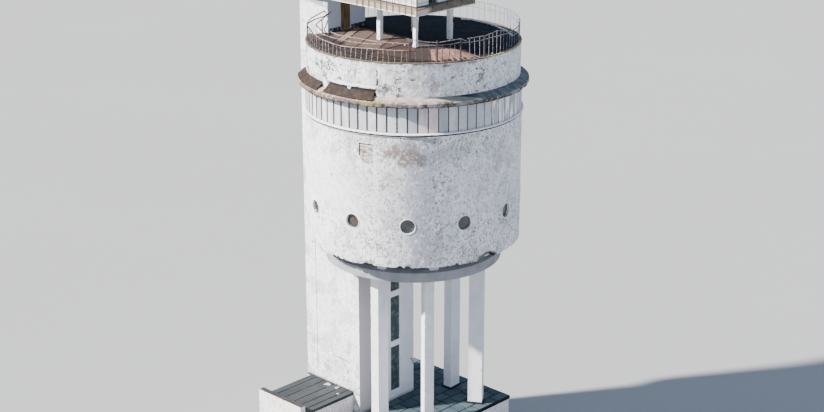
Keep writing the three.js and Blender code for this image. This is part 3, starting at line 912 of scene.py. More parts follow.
class TOWER_OT_band(bpy.types.Operator):
    """Facing panels with dark joints between them, on a white sill moulding"""

    bl_idname = "tower.band"
    bl_label = "Facing band"

    def execute(self, context):
        band_panels(context.scene.tower_band, panel_finish())
        inside, face, low = DRUM_R - WALL, DRUM_R - 0.11, BAND_LOW
        backing = [[inside, low + 0.1], [face, low + 0.1], [face, BAND_TOP], [inside, BAND_TOP]]
        make_piece("band_backing", swept(backing, np.linspace(0, 1, 420)), joint_finish(), "panel")
        rim = corners("panel_band_1")[1][0] - AXIS[0]
        sill = [[inside, low], [rim - 0.07, low], [rim - 0.05, low + 0.02], [rim - 0.05, low + 0.045],
                [rim - 0.13, low + 0.05], [rim - 0.13, low + 0.145], [rim, low + 0.15], [rim, low + 0.205],
                [rim - 0.05, low + 0.235], [DRUM_R - 0.05, low + 0.245], [inside, low + 0.245]]
        shape = swept(refined(sill, 0.06), np.linspace(0, 1, 700), chipped(0.02, rim, 0.04, 91))
        x, y, z = (shape[0] - [AXIS[0], AXIS[1], low]).T
        # painted shade in the sill's recessed groove, and along its foot except on the +X side
        painted_groove_shade = (np.hypot(x, y) < rim - 0.07) * (z > 0.04) * (z < 0.149)
        painted_groove_shade = np.maximum(painted_groove_shade, 0.6 * (z < 0.06) * (x < 5.4))
        paintwork = plaster_finish("sill_paint", (244, 244, 244), speckle=0.4)
        make_piece("band_sill", shape, paintwork, "plaster", grime=painted_groove_shade)
        return {"FINISHED"}


def ledge_marks(points):
    """Broken brown rim, pinkish top, felt at the right and back, and lichen, by place, with
    painted shade under the ledge and over the felt.
    """
    x, y, z = points.T
    azimuth = azimuth_of(x, y) % 360
    azimuth = np.where(azimuth > 290, azimuth - 360, azimuth)
    radius, s = radius_of(x, y), azimuth * STEM
    side = smooth(radius, LEDGE_R - 0.22, LEDGE_R - 0.1) * smooth(z, BAND_TOP + 0.3, BAND_TOP + 0.24)
    # painted shade along the underside of the ledge
    under = smooth(z, BAND_TOP + 0.09, BAND_TOP + 0.02)
    rough = smooth(fractal(s, z, 0.4, 101), -0.25, 0.3)
    rim = smooth(radius, LEDGE_R - 0.3, LEDGE_R - 0.1)
    grime = np.clip(rim * rough * (0.6 + 0.3 * smooth(azimuth, 20, 60)) + 0.9 * under, 0, 1)
    covered = PARAPET_R + 0.06 + 0.42 * smooth(azimuth, 52, 68)
    inner = smooth(azimuth, 47, 52) * smooth(radius, covered + 0.05, covered - 0.03)
    felt = np.maximum(smooth(azimuth, 64, 68), inner) * (1 - side)
    # painted shade over the felt, fading out between azimuths 72 and 80
    damp = 0.95 * felt * smooth(azimuth, 80, 72)
    lichen = smooth(np.abs(azimuth - 23), 7, 4) * smooth(radius, LEDGE_R - 0.35, LEDGE_R - 0.15)
    lichen = np.maximum(lichen, 0.2 * rim * smooth(fractal(s, z, 1.1, 102), 0.15, 0.5))
    return dict(grime=grime, felt=felt, damp=damp, side=side, warm=smooth(azimuth, 34, 24), lichen=lichen)


def ledge_sheet(first, last, inner, outer, seed):
    """Loose roofing sheet over the ledge: straight from its inner to its outer edge, each a radius
    and height, over a span of azimuths, with buckles from a fractal and ragged ends."""
    up, along = np.meshgrid(np.linspace(0, 1, 14), np.linspace(0, 1, int((last - first) * 1.6)))
    torn = 0.7 * fractal(up * 3, 0 * up, 0.6, seed)
    azimuth = first + (last - first) * along + torn * (1 - 2 * along)
    radius = inner[0] + (outer[0] - inner[0]) * up
    s = azimuth * STEM
    z = inner[1] + (outer[1] - inner[1]) * up + 0.02 * fractal(s, up, 0.9, seed + 1)
    z = z + 0.03 * fractal(s, up, 0.3, seed + 2) * up
    radius = radius + 0.012 * fractal(s, up * 0.3, 0.35, seed + 3) * up
    top = polar(azimuth, np.minimum(radius, LEDGE_R - 0.004), z)
    return shell(top, top - [0, 0, 0.012], grid_faces(*azimuth.shape))


class TOWER_OT_ledge(bpy.types.Operator):
    """Sloping ledge with a broken rim, and two loose rusted sheets over it"""

    bl_idname = "tower.ledge"
    bl_label = "Ledge"

    def execute(self, context):
        inside, foot, rim = PARAPET_R - WALL, BAND_TOP + 0.003, LEDGE_R - 0.003
        profile = [[inside, foot], [LEDGE_R - 0.05, foot], [rim, BAND_TOP + 0.05], [rim, BAND_TOP + 0.268],
                   [PARAPET_R, LEDGE_TOP], [inside, LEDGE_TOP]]
        chips = chipped(context.scene.tower_band.chips, LEDGE_R, 0.12, 111)
        shape = swept(refined(profile, 0.07), np.linspace(0, 1, 620), chips)
        given = ledge_marks(shape[0])
        make_piece("ledge", shape, ledge_finish(), "cornice", ["cornice_1", "cornice_2"], **given)
        rust = rust_sheet_finish("ledge_rust", (40, 31, 26), (53, 43, 37), (84, 72, 62))
        first = ledge_sheet(-45.5, -10.5, (PARAPET_R - 0.02, 27.42), (LEDGE_R - 0.02, 26.98), 121)
        second = ledge_sheet(-5.7, 24.0, (PARAPET_R - 0.03, 27.42), (LEDGE_R - 0.06, 27.0), 131)
        for number, shape in enumerate((first, second), 1):
            make_piece(f"ledge_sheet_{number}", shape, rust, "cornice")
        return {"FINISHED"}


# Ring wall above the ledge


def parapet_marks(s, z):
    """Marks on the ring wall: dark slots, torn edge over the sheets, peeled places and runs, with
    painted shade in the gap over the sheets and in a band where the sunlit side turns away.
    """
    spots = [(25.4, 28.0, 0.07, 0.32, 0.9), (25.4, 28.55, 0.05, 0.2, 0.7), (36.5, 28.2, 0.3, 0.05, 0.5),
             (36.9, 28.05, 0.12, 0.05, 0.6), (43.5, 28.2, 0.18, 0.09, 0.6), (64, 28.3, 0.16, 0.09, 0.85),
             (69, 28.35, 0.06, 0.05, 0.6), (98.8, 28.6, 0.25, 0.14, 0.5), (-26, 28.4, 0.5, 0.16, 0.35),
             (-6, 28.3, 0.2, 0.3, 0.3), (14, 28.75, 0.9, 0.04, 0.3), (13, 28.3, 0.08, 0.5, 0.4),
             (61, 29.05, 0.3, 0.1, 0.6), (75, 29.1, 0.5, 0.08, 0.6), (-38, 28.6, 0.06, 0.6, 0.5)]
    grime = round_marks(s, z, spots, 141, 0.12)
    azimuth = s / STEM
    torn = 0.09 * fractal(s, 0 * s, 0.7, 144)
    span = smooth(azimuth, -6.5, -5.5) * smooth(azimuth, 25, 24)
    # painted shade in the gap between the torn plaster and the sheet below it
    gap = span * smooth(z + 0.5 * torn, 27.58, 27.53) * smooth(np.abs(azimuth - 9), 0.8, 1.6)
    edge = span * smooth(np.abs(z + torn - 27.68), 0.1, 0.05)
    bare = 0.45 * smooth(fractal(s, z, 0.55, 142), 0.1, 0.3) * smooth(azimuth, 90, 50)
    stain = 0.5 * smooth(z, PARAPET_TOP - 0.35, PARAPET_TOP) * smooth(fractal(s, z, 0.3, 143), -0.15, 0.35)
    cracked = smooth(fractal(s, z, 1.1, 145), -0.25, 0.15) * (1 - 0.6 * smooth(azimuth, 70, 95))
    # painted shade: a blue-grey band where the sunlit side turns into shade
    damp = np.interp(azimuth, [25, 40, 46, 51, 56], [0, 0.15, 0.35, 0.3, 0])
    return dict(damp=damp, grime=np.maximum(grime, gap), bare=bare, stain=stain, wash=0.9 * edge,
                weather=0.1 + 0 * s, cracked=cracked)


class TOWER_OT_parapet(bpy.types.Operator):
    """Ring wall above the ledge with its thin coping"""

    bl_idname = "tower.parapet"
    bl_label = "Ring wall"

    def execute(self, context):
        walls = context.scene.tower_walls
        rows, columns = 30, 560
        azimuth, z = np.meshgrid(azimuths(np.linspace(0, 1, columns), PARAPET_R),
                                 np.linspace(LEDGE_TOP, PARAPET_TOP, rows))
        s = azimuth * STEM
        given = parapet_marks(s.ravel(), z.ravel())
        bricks = 0.002 * np.cos(2 * np.pi * z / 0.154)
        flaked = smooth(fractal(s, z, 0.55, 142), 0.12, 0.3)
        out = PARAPET_R - 0.012 + wall_relief(s, z, walls.relief) - 0.012 * flaked + bricks * flaked
        out = out - 0.1 * given["grime"].reshape(out.shape)
        wall = shell(polar(azimuth, out, z), polar(azimuth, PARAPET_R - WALL, z), grid_faces(rows, columns))
        make_piece("parapet_wall", wall, plaster_finish("parapet_plaster", (236, 236, 237), speckle=0.6),
                   "plaster", ["parapet_1", "parapet_2"], **doubled(given))
        back, rim, top = PARAPET_R - 0.14, PARAPET_R + 0.02, PARAPET_TOP + 0.07
        coping = [[back, PARAPET_TOP], [rim - 0.01, PARAPET_TOP - 0.01], [rim, top - 0.02],
                  [PARAPET_R - 0.02, top], [back, top]]
        shape = swept(refined(coping, 0.05), np.linspace(0, 1, 700), chipped(0.04, rim, 0.1, 151))
        turn = azimuth_of(*shape[0][:, :2].T) % 360
        ochre = 0.8 * smooth(turn, 80, 88) * smooth(turn, 130, 122)
        lichen = np.maximum(ochre, 0.1 * (fractal(turn, 0 * turn, 3, 152) > 0))
        finish = ledge_finish("coping_concrete", (98, 86, 76), (124, 110, 98), (176, 162, 96))
        make_piece("coping", shape, finish, "cornice", lichen=lichen, grime=0.6 * (1 - ochre))
        return {"FINISHED"}


# Roof deck


# Offsets of the joints between the rusty sheets, and degrees from rib to rib of the pinkish ones
DECK_JOINTS = (-7.4, -5.0, -4.13, -3.55, -2.4, -0.9, 0.7, 2.2)
RIB_PITCH = 3.1


def deck_height(x, y):
    """Height of the deck: a flat rim, a slope up to the crown, and shallow waves."""
    crown = (DECK_TOP - 0.03 - PARAPET_TOP - 0.03) * smooth(radius_of(x, y), DECK_R - 0.12, 5.5)
    return PARAPET_TOP + 0.03 + crown + 0.008 * fractal(x, y, 0.7, 161)


def polygon_distance(outline):
    """Distance inside a convex outline: the least distance to the lines through its sides."""
    points = np.asarray(outline, float)
    after = np.roll(points, -1, axis=0)
    x0, y0 = points.T
    turn = np.sign((x0 * after[:, 1] - after[:, 0] * y0).sum())

    def distance(x, y):
        away = []
        for (ax, ay), (bx, by) in zip(points, after):
            away.append(turn * ((bx - ax) * (y - ay) - (by - ay) * (x - ax)) / math.hypot(bx - ax, by - ay))
        return np.minimum.reduce(away)
    return distance


def deck_sheet(low, high, distance, lift, rib=None, seed=0, step=0.11):
    """Thin cover that follows the deck a little above it, with buckles and, if asked, ribs."""
    def top(x, y):
        raised = deck_height(x, y) + lift + 0.008 * fractal(x, y, 0.35, seed)
        return raised + rib(x, y) if rib else raised
    return plate(step, low, high, distance, top, lambda x, y: deck_height(x, y) - 0.01)


def rusty_sheets(finish):
    """Strips of sheet side by side across the front of the deck, with dark gaps between them."""
    shapes, worn, grime = [], [], []
    shades = (0.05, 0.3, 0.8, 0.25, 0.2, 0.05, 0.0)
    for number, (first, last, shade) in enumerate(zip(DECK_JOINTS, DECK_JOINTS[1:], shades)):
        def distance(x, y):
            across = 0.877 * x + 0.48 * (y - AXIS[1])
            edges = [across - first - 0.045, last - 0.045 - across, x + 6.3, 1.75 - x]
            edges += [shaft_distance(x, y, 0.02), -0.6 - y + 0.3 * fractal(x, y, 1.1, 163)]
            edges += [6.33 - radius_of(x, y) + 0.08 * fractal(x, y, 0.6, 162)]
            return np.minimum.reduce(edges)
        lift = 0.02 + 0.006 * (number % 3)
        shapes.append(deck_sheet((-6.4, -6.3), (1.9, 0.0), distance, lift, seed=164 + number))
        x, y = shapes[-1][0][:, :2].T
        rim = 0.9 * smooth(radius_of(x, y) + 0.4 * fractal(x, y, 0.7, 169), 4.9, 5.5)
        worn.append(shade * (1 - rim))
        grime.append(rim)
    make_piece("deck_rusty_sheets", joined(shapes), finish, "felt", worn=np.concatenate(worn),
               grime=np.concatenate(grime))


def deck_covers():
    """Red strip, ribbed pinkish sheets at the right, and the debris along the rim."""
    red = polygon_distance([
        (2.58, -4.06), (2.21, -3.23), (2.53, -2.74), (2.95, -2.35), (3.55, -2.97), (3.08, -3.76)])
    pink = polygon_distance([
        (4.72, -2.85), (3.89, -1.99), (4.65, -0.86), (5.62, -0.6), (7.4, -0.36), (8.0, -4.0), (6.0, -4.15)])

    def red_edge(x, y):
        return red(x, y) + 0.05 * fractal(x, y, 0.4, 171)

    def pink_edge(x, y):
        return np.minimum(pink(x, y) + 0.05 * fractal(x, y, 0.4, 173), DECK_R - 0.1 - radius_of(x, y))

    def waves(x, y):
        return np.cos(2 * np.pi * azimuth_of(x, y) / RIB_PITCH)

    def ribs(x, y):
        return 0.02 * smooth(waves(x, y), 0.2, 0.9)

    def debris_edge(x, y):
        radius = radius_of(x, y)
        return np.minimum.reduce([radius - 6.34 + 0.09 * fractal(x, y, 0.5, 176), DECK_R - 0.05 - radius,
                                  (78 - np.abs(azimuth_of(x, y) - 10)) * 0.11, shaft_distance(x, y, 0.02)])

    def heaps(x, y):
        return 0.035 * smooth(fractal(x, y, 0.22, 177), 0.1, 0.6)

    shape = deck_sheet((2.1, -4.2), (3.7, -2.2), red_edge, 0.025, seed=172)
    finish = rust_sheet_finish("deck_red", (60, 38, 35), (74, 46, 42), (84, 66, 62))
    make_piece("deck_red_strip", shape, finish, "felt")
    shape = deck_sheet((3.8, -4.4), (6.8, -0.1), pink_edge, 0.015, ribs, 174, 0.08)
    x, y = shape[0][:, :2].T
    turn = azimuth_of(x, y)
    streaks = 0.6 * smooth(waves(x, y), 0.3, 0.9) * smooth(fractal(turn, 0 * turn, 2.0, 175), -0.3, 0.4)
    finish = rust_sheet_finish("deck_pink", (112, 82, 75), (128, 98, 90), (158, 130, 120))
    make_piece("deck_pink_sheets", shape, finish, "felt", worn=streaks)
    shape = deck_sheet((-6.9, -6.4), (6.9, 1.5), debris_edge, 0.02, heaps, 178, 0.09)
    finish = rust_sheet_finish("deck_debris", (34, 33, 32), (50, 47, 45), (92, 84, 78))
    make_piece("deck_rim_debris", shape, finish, "felt")


def deck_bits():
    """Broken pale kerb at the back, pale lumps, and the felt upstands at the shaft's foot."""
    line = np.array([(-0.59, 5.64), (0.03, 6.02), (1.52, 5.92), (2.61, 5.7), (3.86, 5.25), (4.65, 4.81)])
    shapes = []
    for number, (start, end) in enumerate(zip(line, line[1:])):
        middle, along = (start + end) / 2, end - start
        half, floor = np.linalg.norm(along) / 2 - 0.04, deck_height(*middle)
        low = [middle[0] - half, middle[1] - 0.07, floor - 0.03]
        high = [middle[0] + half, middle[1] + 0.07, floor + 0.12]
        shape = block(low, high, 0.06, 0.01, 0.035, 180 + number, 0.3)
        shapes.append(turned(shape, math.degrees(math.atan2(along[1], along[0])), middle))
    lumps = [(1.13, -2.42, 0.07), (1.14, -2.06, 0.05), (1.51, -2.06, 0.06), (1.92, -2.21, 0.06),
             (6.5, 0.76, 0.07), (6.6, 1.03, 0.05)]
    for number, (x, y, half) in enumerate(lumps):
        floor = deck_height(x, y)
        low = [x - half, y - 0.7 * half, floor - 0.02]
        high = [x + half, y + 0.7 * half, floor + 0.9 * half]
        shape = block(low, high, 0.03, 0.008, 0.02, 190 + number, 0.1)
        shapes.append(turned(shape, 37.0 * number, np.array([x, y])))
    pale = plaster_finish("deck_rubble", (214, 210, 206), speckle=0.6)
    make_piece("deck_rubble", joined(shapes), pale, "plaster")
    door_low, door_high = corners("deck_door")
    x, y = SHAFT_HIGH[:2]
    spans = [(SHAFT_LOW[1] + 0.15, door_low[1] - 0.06), (door_high[1] + 0.06, y)]
    strips = [block([x - 0.03, near, DECK_TOP - 0.15], [x + 0.05, far, DECK_TOP + 0.24],
                    0.06, 0.006, 0.02, 198, 0.3) for near, far in spans]
    strips.append(block([SHAFT_LOW[0] + 2.0, y - 0.03, DECK_TOP - 0.2], [x, y + 0.05, DECK_TOP + 0.2],
                        0.08, 0.006, 0.02, 199, 0.3))
    shape = joined(strips)
    flecks = smooth(fractal(shape[0][:, 1] * 1.3, shape[0][:, 2], 0.14, 197), 0.3, 0.5)
    felt = felt_finish("upstand_felt", (40, 48, 58), (58, 66, 76), (190, 188, 184))
    make_piece("deck_upstands", shape, felt, "felt", worn=0.8 * flecks)


class TOWER_OT_deck(bpy.types.Operator):
    """Felted roof deck with rusty sheets at the front, debris and a broken kerb"""

    bl_idname = "tower.deck"
    bl_label = "Roof deck"

    def execute(self, context):
        reach = DECK_R - 0.02
        shape = plate(0.12, AXIS - reach, AXIS + reach, disc_distance(reach), deck_height,
                      lambda x, y: PARAPET_TOP + 0.003)
        x, y, _ = shape[0].T
        worn = 0.35 * smooth(radius_of(x, y), 6.0, 6.5) * smooth(fractal(x, y, 0.5, 160), -0.2, 0.4)
        dust = 0.9 * smooth(y + 0.4 * fractal(x, y, 0.8, 159), -0.3, -0.9)
        felt = felt_finish("deck_felt", (2, 14, 22), (14, 30, 40), (52, 66, 74))
        make_piece("deck_felt", shape, felt, "felt", ["deck"], worn=worn, dust=dust)
        rusty_sheets(rust_sheet_finish("deck_rust", (56, 43, 39), (76, 60, 54), (136, 117, 106)))
        deck_covers()
        deck_bits()
        return {"FINISHED"}


# Deck railing: rails as (azimuth, height), posts as (azimuth, top, radius), bent bars as places


RAILING_R = 6.74
FRONT_RAILS = (
    [(-23.9, 30.14), (-13.4, 30.02), (-4.5, 29.97), (2, 29.92), (9.5, 29.96), (16.5, 30.0), (22.9, 30.03),
     (31, 30.01), (41.5, 30.02)],
    [(-24, 30.4), (-19.1, 30.36), (-8, 30.34), (2, 30.31), (11.8, 30.3), (18.6, 30.3), (25.4, 30.33),
     (27.5, 30.36)],
    [(-4.5, 30.65), (2, 30.56), (11.8, 30.57), (18.6, 30.53), (27, 30.48), (33, 30.47), (41.8, 30.42)],
)
RIGHT_RAILS = (
    [(40, 30.74), (50.8, 30.52), (56.1, 30.47), (62.8, 30.55), (69, 30.6)],
    [(46, 30.34), (56.1, 30.31), (62.8, 30.32), (69, 30.38)],
    [(68.6, 30.59), (73.7, 30.32)],
    [(72.7, 30.56), (78.7, 30.57), (84.1, 30.57), (92.8, 30.71), (104.4, 30.43), (110.3, 30.2)],
    [(68.6, 30.36), (73.7, 30.31), (82.4, 30.33), (87, 30.37), (101.5, 30.35), (108, 30.3)],
)
BACK_RAILS = (
    [(104.4, 30.43), (107.7, 30.36), (120, 30.38), (128, 30.42), (150, 30.52), (262, 30.5)],
    [(108, 30.0), (128, 30.1), (262, 30.12)],
)
THICK_POSTS = ((41.8, 30.47, 0.045), (55.9, 30.59, 0.045), (68.6, 30.6, 0.045), (83.3, 30.5, 0.06))
BENT_BARS = (
    [(-4.25, -4.72, 29.2), (-3.99, -4.87, 30.49), (-4.23, -4.3, 30.66), (-4.17, -3.7, 30.84),
     (-4.21, -3.16, 30.94)],
    [(-4.03, -4.85, 30.41), (-4.16, -4.1, 30.54), (-3.76, -3.6, 30.74), (-3.62, -3.16, 31.0)],
    [(-3.62, -3.16, 31.0), (-4.58, -3.6, 30.09), (-4.58, -3.6, 29.3)],
    [(-4.02, -3.6, 30.49), (-3.99, -3.6, 29.3)],
    [(-4.06, -4.83, 30.26), (-4.16, -4.1, 29.5)],
    [(-4.58, -3.6, 30.05), (-3.65, -3.7, 29.6)],
    [(-4.25, -4.72, 29.5), (-3.6, -5.1, 29.75), (-2.73, -5.6, 30.14)],
)


def arc_path(points, radius=RAILING_R):
    """Path round the axis through (azimuth, height) pairs, a point every 1.5 degrees or less."""
    turns, heights = np.asarray(points, float).T
    fine = np.unique(np.concatenate([np.arange(turns[0], turns[-1], 1.5), turns]))
    return polar(fine, radius, np.interp(fine, turns, heights))


def stakes(places, rail, width, draw, lean=0.5):
    """Balusters from the deck's rim up to a rail given as (azimuth, height) pairs."""
    turns, heights = np.asarray(rail, float).T
    places = np.asarray(places, float)
    leaning = places + draw.uniform(-lean, lean, len(places))
    tops = polar(leaning, RAILING_R, np.interp(places, turns, heights))
    return bars(polar(places, RAILING_R, PARAPET_TOP), tops, width)


class TOWER_OT_deck_railing(bpy.types.Operator):
    """Bent steel railing round the deck"""

    bl_idname = "tower.deck_railing"
    bl_label = "Deck railing"

    def execute(self, context):
        deck = context.scene.tower_deck
        draw = np.random.default_rng(171)
        thick = deck.rail / 2

        def railing(part, shapes, finish):
            nodes = ["deck_railing_1", "deck_railing_2"]
            make_piece(f"deck_railing_{part}", joined(shapes), finish, "rust", nodes, smooth_angle=40)

        front = [rod(arc_path(path), thick) for path in FRONT_RAILS]
        front.append(stakes(np.arange(-37, 41, deck.pitch), FRONT_RAILS[0], deck.bar, draw, 0.8))
        railing("front", front, steel_finish("front_steel", (150, 138, 131), (104, 86, 78)))
        bent = [rod(path, 0.042) for path in BENT_BARS]
        railing("bent", bent, steel_finish("bent_steel", (74, 64, 66), (92, 72, 66)))
        right = [rod(arc_path(path), thick) for path in RIGHT_RAILS]
        right.append(stakes(np.arange(74, 110, deck.pitch), RIGHT_RAILS[3], 0.75 * deck.bar, draw))
        railing("right", right, steel_finish("right_steel", (132, 134, 142), (96, 88, 90)))
        few = stakes(np.arange(45, 68, 3.4), RIGHT_RAILS[1], 0.9 * deck.bar, draw, 1.0)
        railing("thin", [few], steel_finish("thin_steel", (112, 102, 106), (84, 72, 72)))
        posts = [rod(polar(at, RAILING_R, np.array([29.2, top])), radius) for at, top, radius in THICK_POSTS]
        railing("posts", posts, steel_finish("post_steel", (78, 70, 72), (64, 50, 50)))
        back = [rod(arc_path(path), 1.1 * thick) for path in BACK_RAILS]
        back.append(stakes(np.arange(112, 262, 4.2), BACK_RAILS[0], 0.022, draw))
        back.append(rod([polar(160, RAILING_R, 30.5)[0], [2.89, 6.71, PARAPET_TOP + 0.03]], 0.6 * thick))
        railing("back", back, steel_finish("back_steel", (124, 134, 140), (96, 100, 100)))
        return {"FINISHED"}


# Shaft, stair tower and cabin walls


def flat_wall(place, spans, thickness, step, relief, holes):
    """Upright wall slab: a grid over the run u and the height z, cut at rectangular holes, its face
    moved by relief(u, z) and its back a thickness behind, shorter at both ends as a mitre, which
    fades out over the first metre. place(u, out, z) gives the points."""
    low_u, high_u, low_z, high_z = spans
    columns, rows = int((high_u - low_u) / step) + 1, int((high_z - low_z) / step) + 1
    u, z = np.meshgrid(np.linspace(low_u, high_u, columns), np.linspace(low_z, high_z, rows))

    def distance(u, z):
        away = [np.maximum.reduce([a - u, u - b, c - z, z - d]) for a, b, c, d in holes]
        return np.minimum.reduce(away + [np.full_like(u, 9.0)])

    u, z, faces = trimmed(u, z, grid_faces(rows, columns), distance, step)
    mitre = np.maximum(1 - (u - low_u), 0) - np.maximum(1 - (high_u - u), 0)
    back = u + (thickness - MITRE_LAP) * mitre
    return shell(place(u, relief(u, z), z), place(back, 0 * u - thickness, z), faces), u, z


def facing(axis, plane, sign):
    """Placing function for a wall whose face lies at plane on an axis and looks along sign."""
    def place(u, out, z):
        across = plane + sign * out
        return np.stack([across, u, z] if axis == 0 else [u, across, z], axis=1)
    return place


def box_walls(name, low, high, thickness, finish, holes, step=0.15, marks_at=None):
    """Four wall slabs round a rectangle in place of the CAD walls of that name, each with its own
    relief and marks, with rectangular holes in the right one."""
    inset = 0.014
    run_x, run_y = (low[0] + inset, high[0] - inset), (low[1] + inset, high[1] - inset)
    sides = dict(front=(facing(1, low[1], -1), run_x), right=(facing(0, high[0], 1), run_y),
                 back=(facing(1, high[1], 1), run_x), left=(facing(0, low[0], -1), run_y))
    for number, (side, (place, run)) in enumerate(sides.items()):
        def relief(u, z):
            edge = np.minimum(u - run[0], run[1] - u)
            chips = 0.012 * smooth(edge, 0.12, 0) * smooth(fractal(u, z, 0.4, 220), 0.1, 0.5)
            return wall_relief(u + 9.0 * number, z, 0.008) - inset - chips
        cut = holes if side == "right" else ()
        shape, u, z = flat_wall(place, (*run, low[2], high[2]), thickness, step, relief, cut)
        given = doubled(marks_at(side, u, z)) if marks_at else {}
        make_piece(f"{name}_{side}", shape, finish, "plaster", [f"{name}_walls"], **given)


WINDOW_LEFT, WINDOW_RIGHT = AXIS[1] - 0.749, AXIS[1] + 0.170
PANES = ((4.279, 7.562), (7.975, 11.223), (11.636, 14.7))


def tower_marks(side, u, z):
    """Marks on the stair tower and the shaft: patches near the foot, white spandrels between the
    panes of the window, a painted shadow of the platform across the top of the shaft's front, painted
    bluish shade high up and painted grey shade low down on the right face, soft mottles and a dark foot."""
    bare, wash, cool, damp, weather = 0.12 * peeled(u, z), 0 * u, 0 * u, 0 * u, 0 * u
    above, foot, spots = z > TANK_FLOOR, 0.0, []
    if side == "front":
        foot = ANNEX_ROOF
        spots = [(-2.45, 8.3, 0.3, 0.7, 0.4), (-6.31, 30.04, 0.1, 0.1, 0.7), (-3.2, 7.2, 1.0, 0.1, 0.3),
                 (-4.6, 6.1, 0.5, 0.25, 0.3), (-5.9, 7.5, 0.3, 0.8, 0.2)]
        low = 0.4 * smooth(z, 7.6, 5.4) * smooth(fractal(u, z, 0.7, 232), -0.1, 0.3)
        bare = np.maximum(0.35 * peeled(u, z), low)
        # painted shadow of the platform slab across the top of the shaft's front, its lower edge slanting
        line = z + 0.06 * fractal(u, z, 0.5, 234) + 0.13 * (u - SHAFT_HIGH[0])
        damp = smooth(line, 31.06, 31.14) * above
        weather = 0.35 * smooth(z, 9, 5)
    if side == "right":
        foot = BASE_HIGH[2]
        # painted shade: the right face darkened grey below the tank, near its front end
        bare = 0.85 * smooth(u, -1.2, -1.7) * (z < TANK_LOW)
        opening = smooth(np.maximum(WINDOW_LEFT - u, u - WINDOW_RIGHT), 0.12, 0.0)
        wash = 0.9 * opening * smooth(np.abs(z - 9.6), 5.5, 5.3)
        # painted shade: a bluish tint over the right face above the tank floor
        cool = 0.75 * above
        weather = 0 * u - 0.35
    grime = np.maximum(0.5 * smooth(np.abs(z - foot), 0.22, 0.08), marks(u, z, spots, 233, 0.2))
    return dict(bare=bare, grime=grime, wash=wash, cool=cool, damp=damp, weather=weather)


def wall_details():
    """Fine cracks in the stair tower's front, the flashing at its foot, the light bar in the window
    and an iron hook."""
    x, y = TOWER_HIGH[0], TOWER_LOW[1]
    z = np.arange(5.1, 15.6, 0.45)
    upright = np.stack([-5.54 + 0.03 * ripple(z, 0 * z, 0.7, 241), y + 0.012 + 0 * z, z], axis=1)
    along = np.arange(-4.1, -2.2, 0.12)
    level = 7.18 + 0.05 * ripple(along, 0 * along, 0.3, 242)
    level = np.stack([along, y + 0.012 + 0 * along, level], axis=1)
    make_piece("tower_cracks", joined([rod(upright, 0.018, 4), rod(level, 0.024, 4)]),
               rust_sheet_finish("crack", (92, 78, 72), (124, 108, 100)), "plaster")
    roof = ANNEX_ROOF + 0.02
    flashing = bars([[TOWER_LOW[0] + 0.02, y, roof]], [[x - 0.66, y, roof]], 0.06, 0.1)
    rust = rust_sheet_finish("flashing", (66, 54, 50), (88, 76, 70))
    make_piece("annex_flashing", flashing, rust, "sheet")
    foot = [x - 0.07, WINDOW_LEFT + 0.04, PANES[0][0]]
    bar = bars([foot], [foot[:2] + [PANES[-1][1]]], 0.06)
    make_piece("window_bar", bar, plaster_finish("bar_paint", (206, 210, 214), speckle=0.3), "plaster")
    path = [(x - 0.05, 1.75, 6.17), (x + 0.1, 1.79, 6.13), (x + 0.13, 1.87, 5.92), (x + 0.08, 1.92, 5.74)]
    make_piece("wall_hook", rod(path, 0.025), steel_finish("hook_steel", (70, 62, 58), (96, 72, 60)), "rust")


class TOWER_OT_stair_tower(bpy.types.Operator):
    """Stair tower and shaft walls with the tall window and the deck door"""

    bl_idname = "tower.stair_tower"
    bl_label = "Stair tower"

    def execute(self, context):
        plaster = plaster_finish("tower_plaster", context.scene.tower_walls.plaster, speckle=0.45)
        panes = [(WINDOW_LEFT, WINDOW_RIGHT, low, high) for low, high in PANES]
        box_walls("tower", TOWER_LOW, TOWER_HIGH, STAIR_WALL, plaster, panes, 0.12, tower_marks)
        low, high = corners("deck_door")
        door = [(low[1] - 0.001, high[1] + 0.001, low[2] - 0.001, high[2] + 0.001)]
        box_walls("shaft", SHAFT_LOW, SHAFT_HIGH, SHELL_WALL, plaster, door, 0.12, tower_marks)
        wall_details()
        refinish(glass_finish("window_glass", (68, 80, 82), (78, 88, 88)), "tower_window_glass")
        refinish(wood_finish(), "deck_door")
        return {"FINISHED"}


# Upper platform and cabin


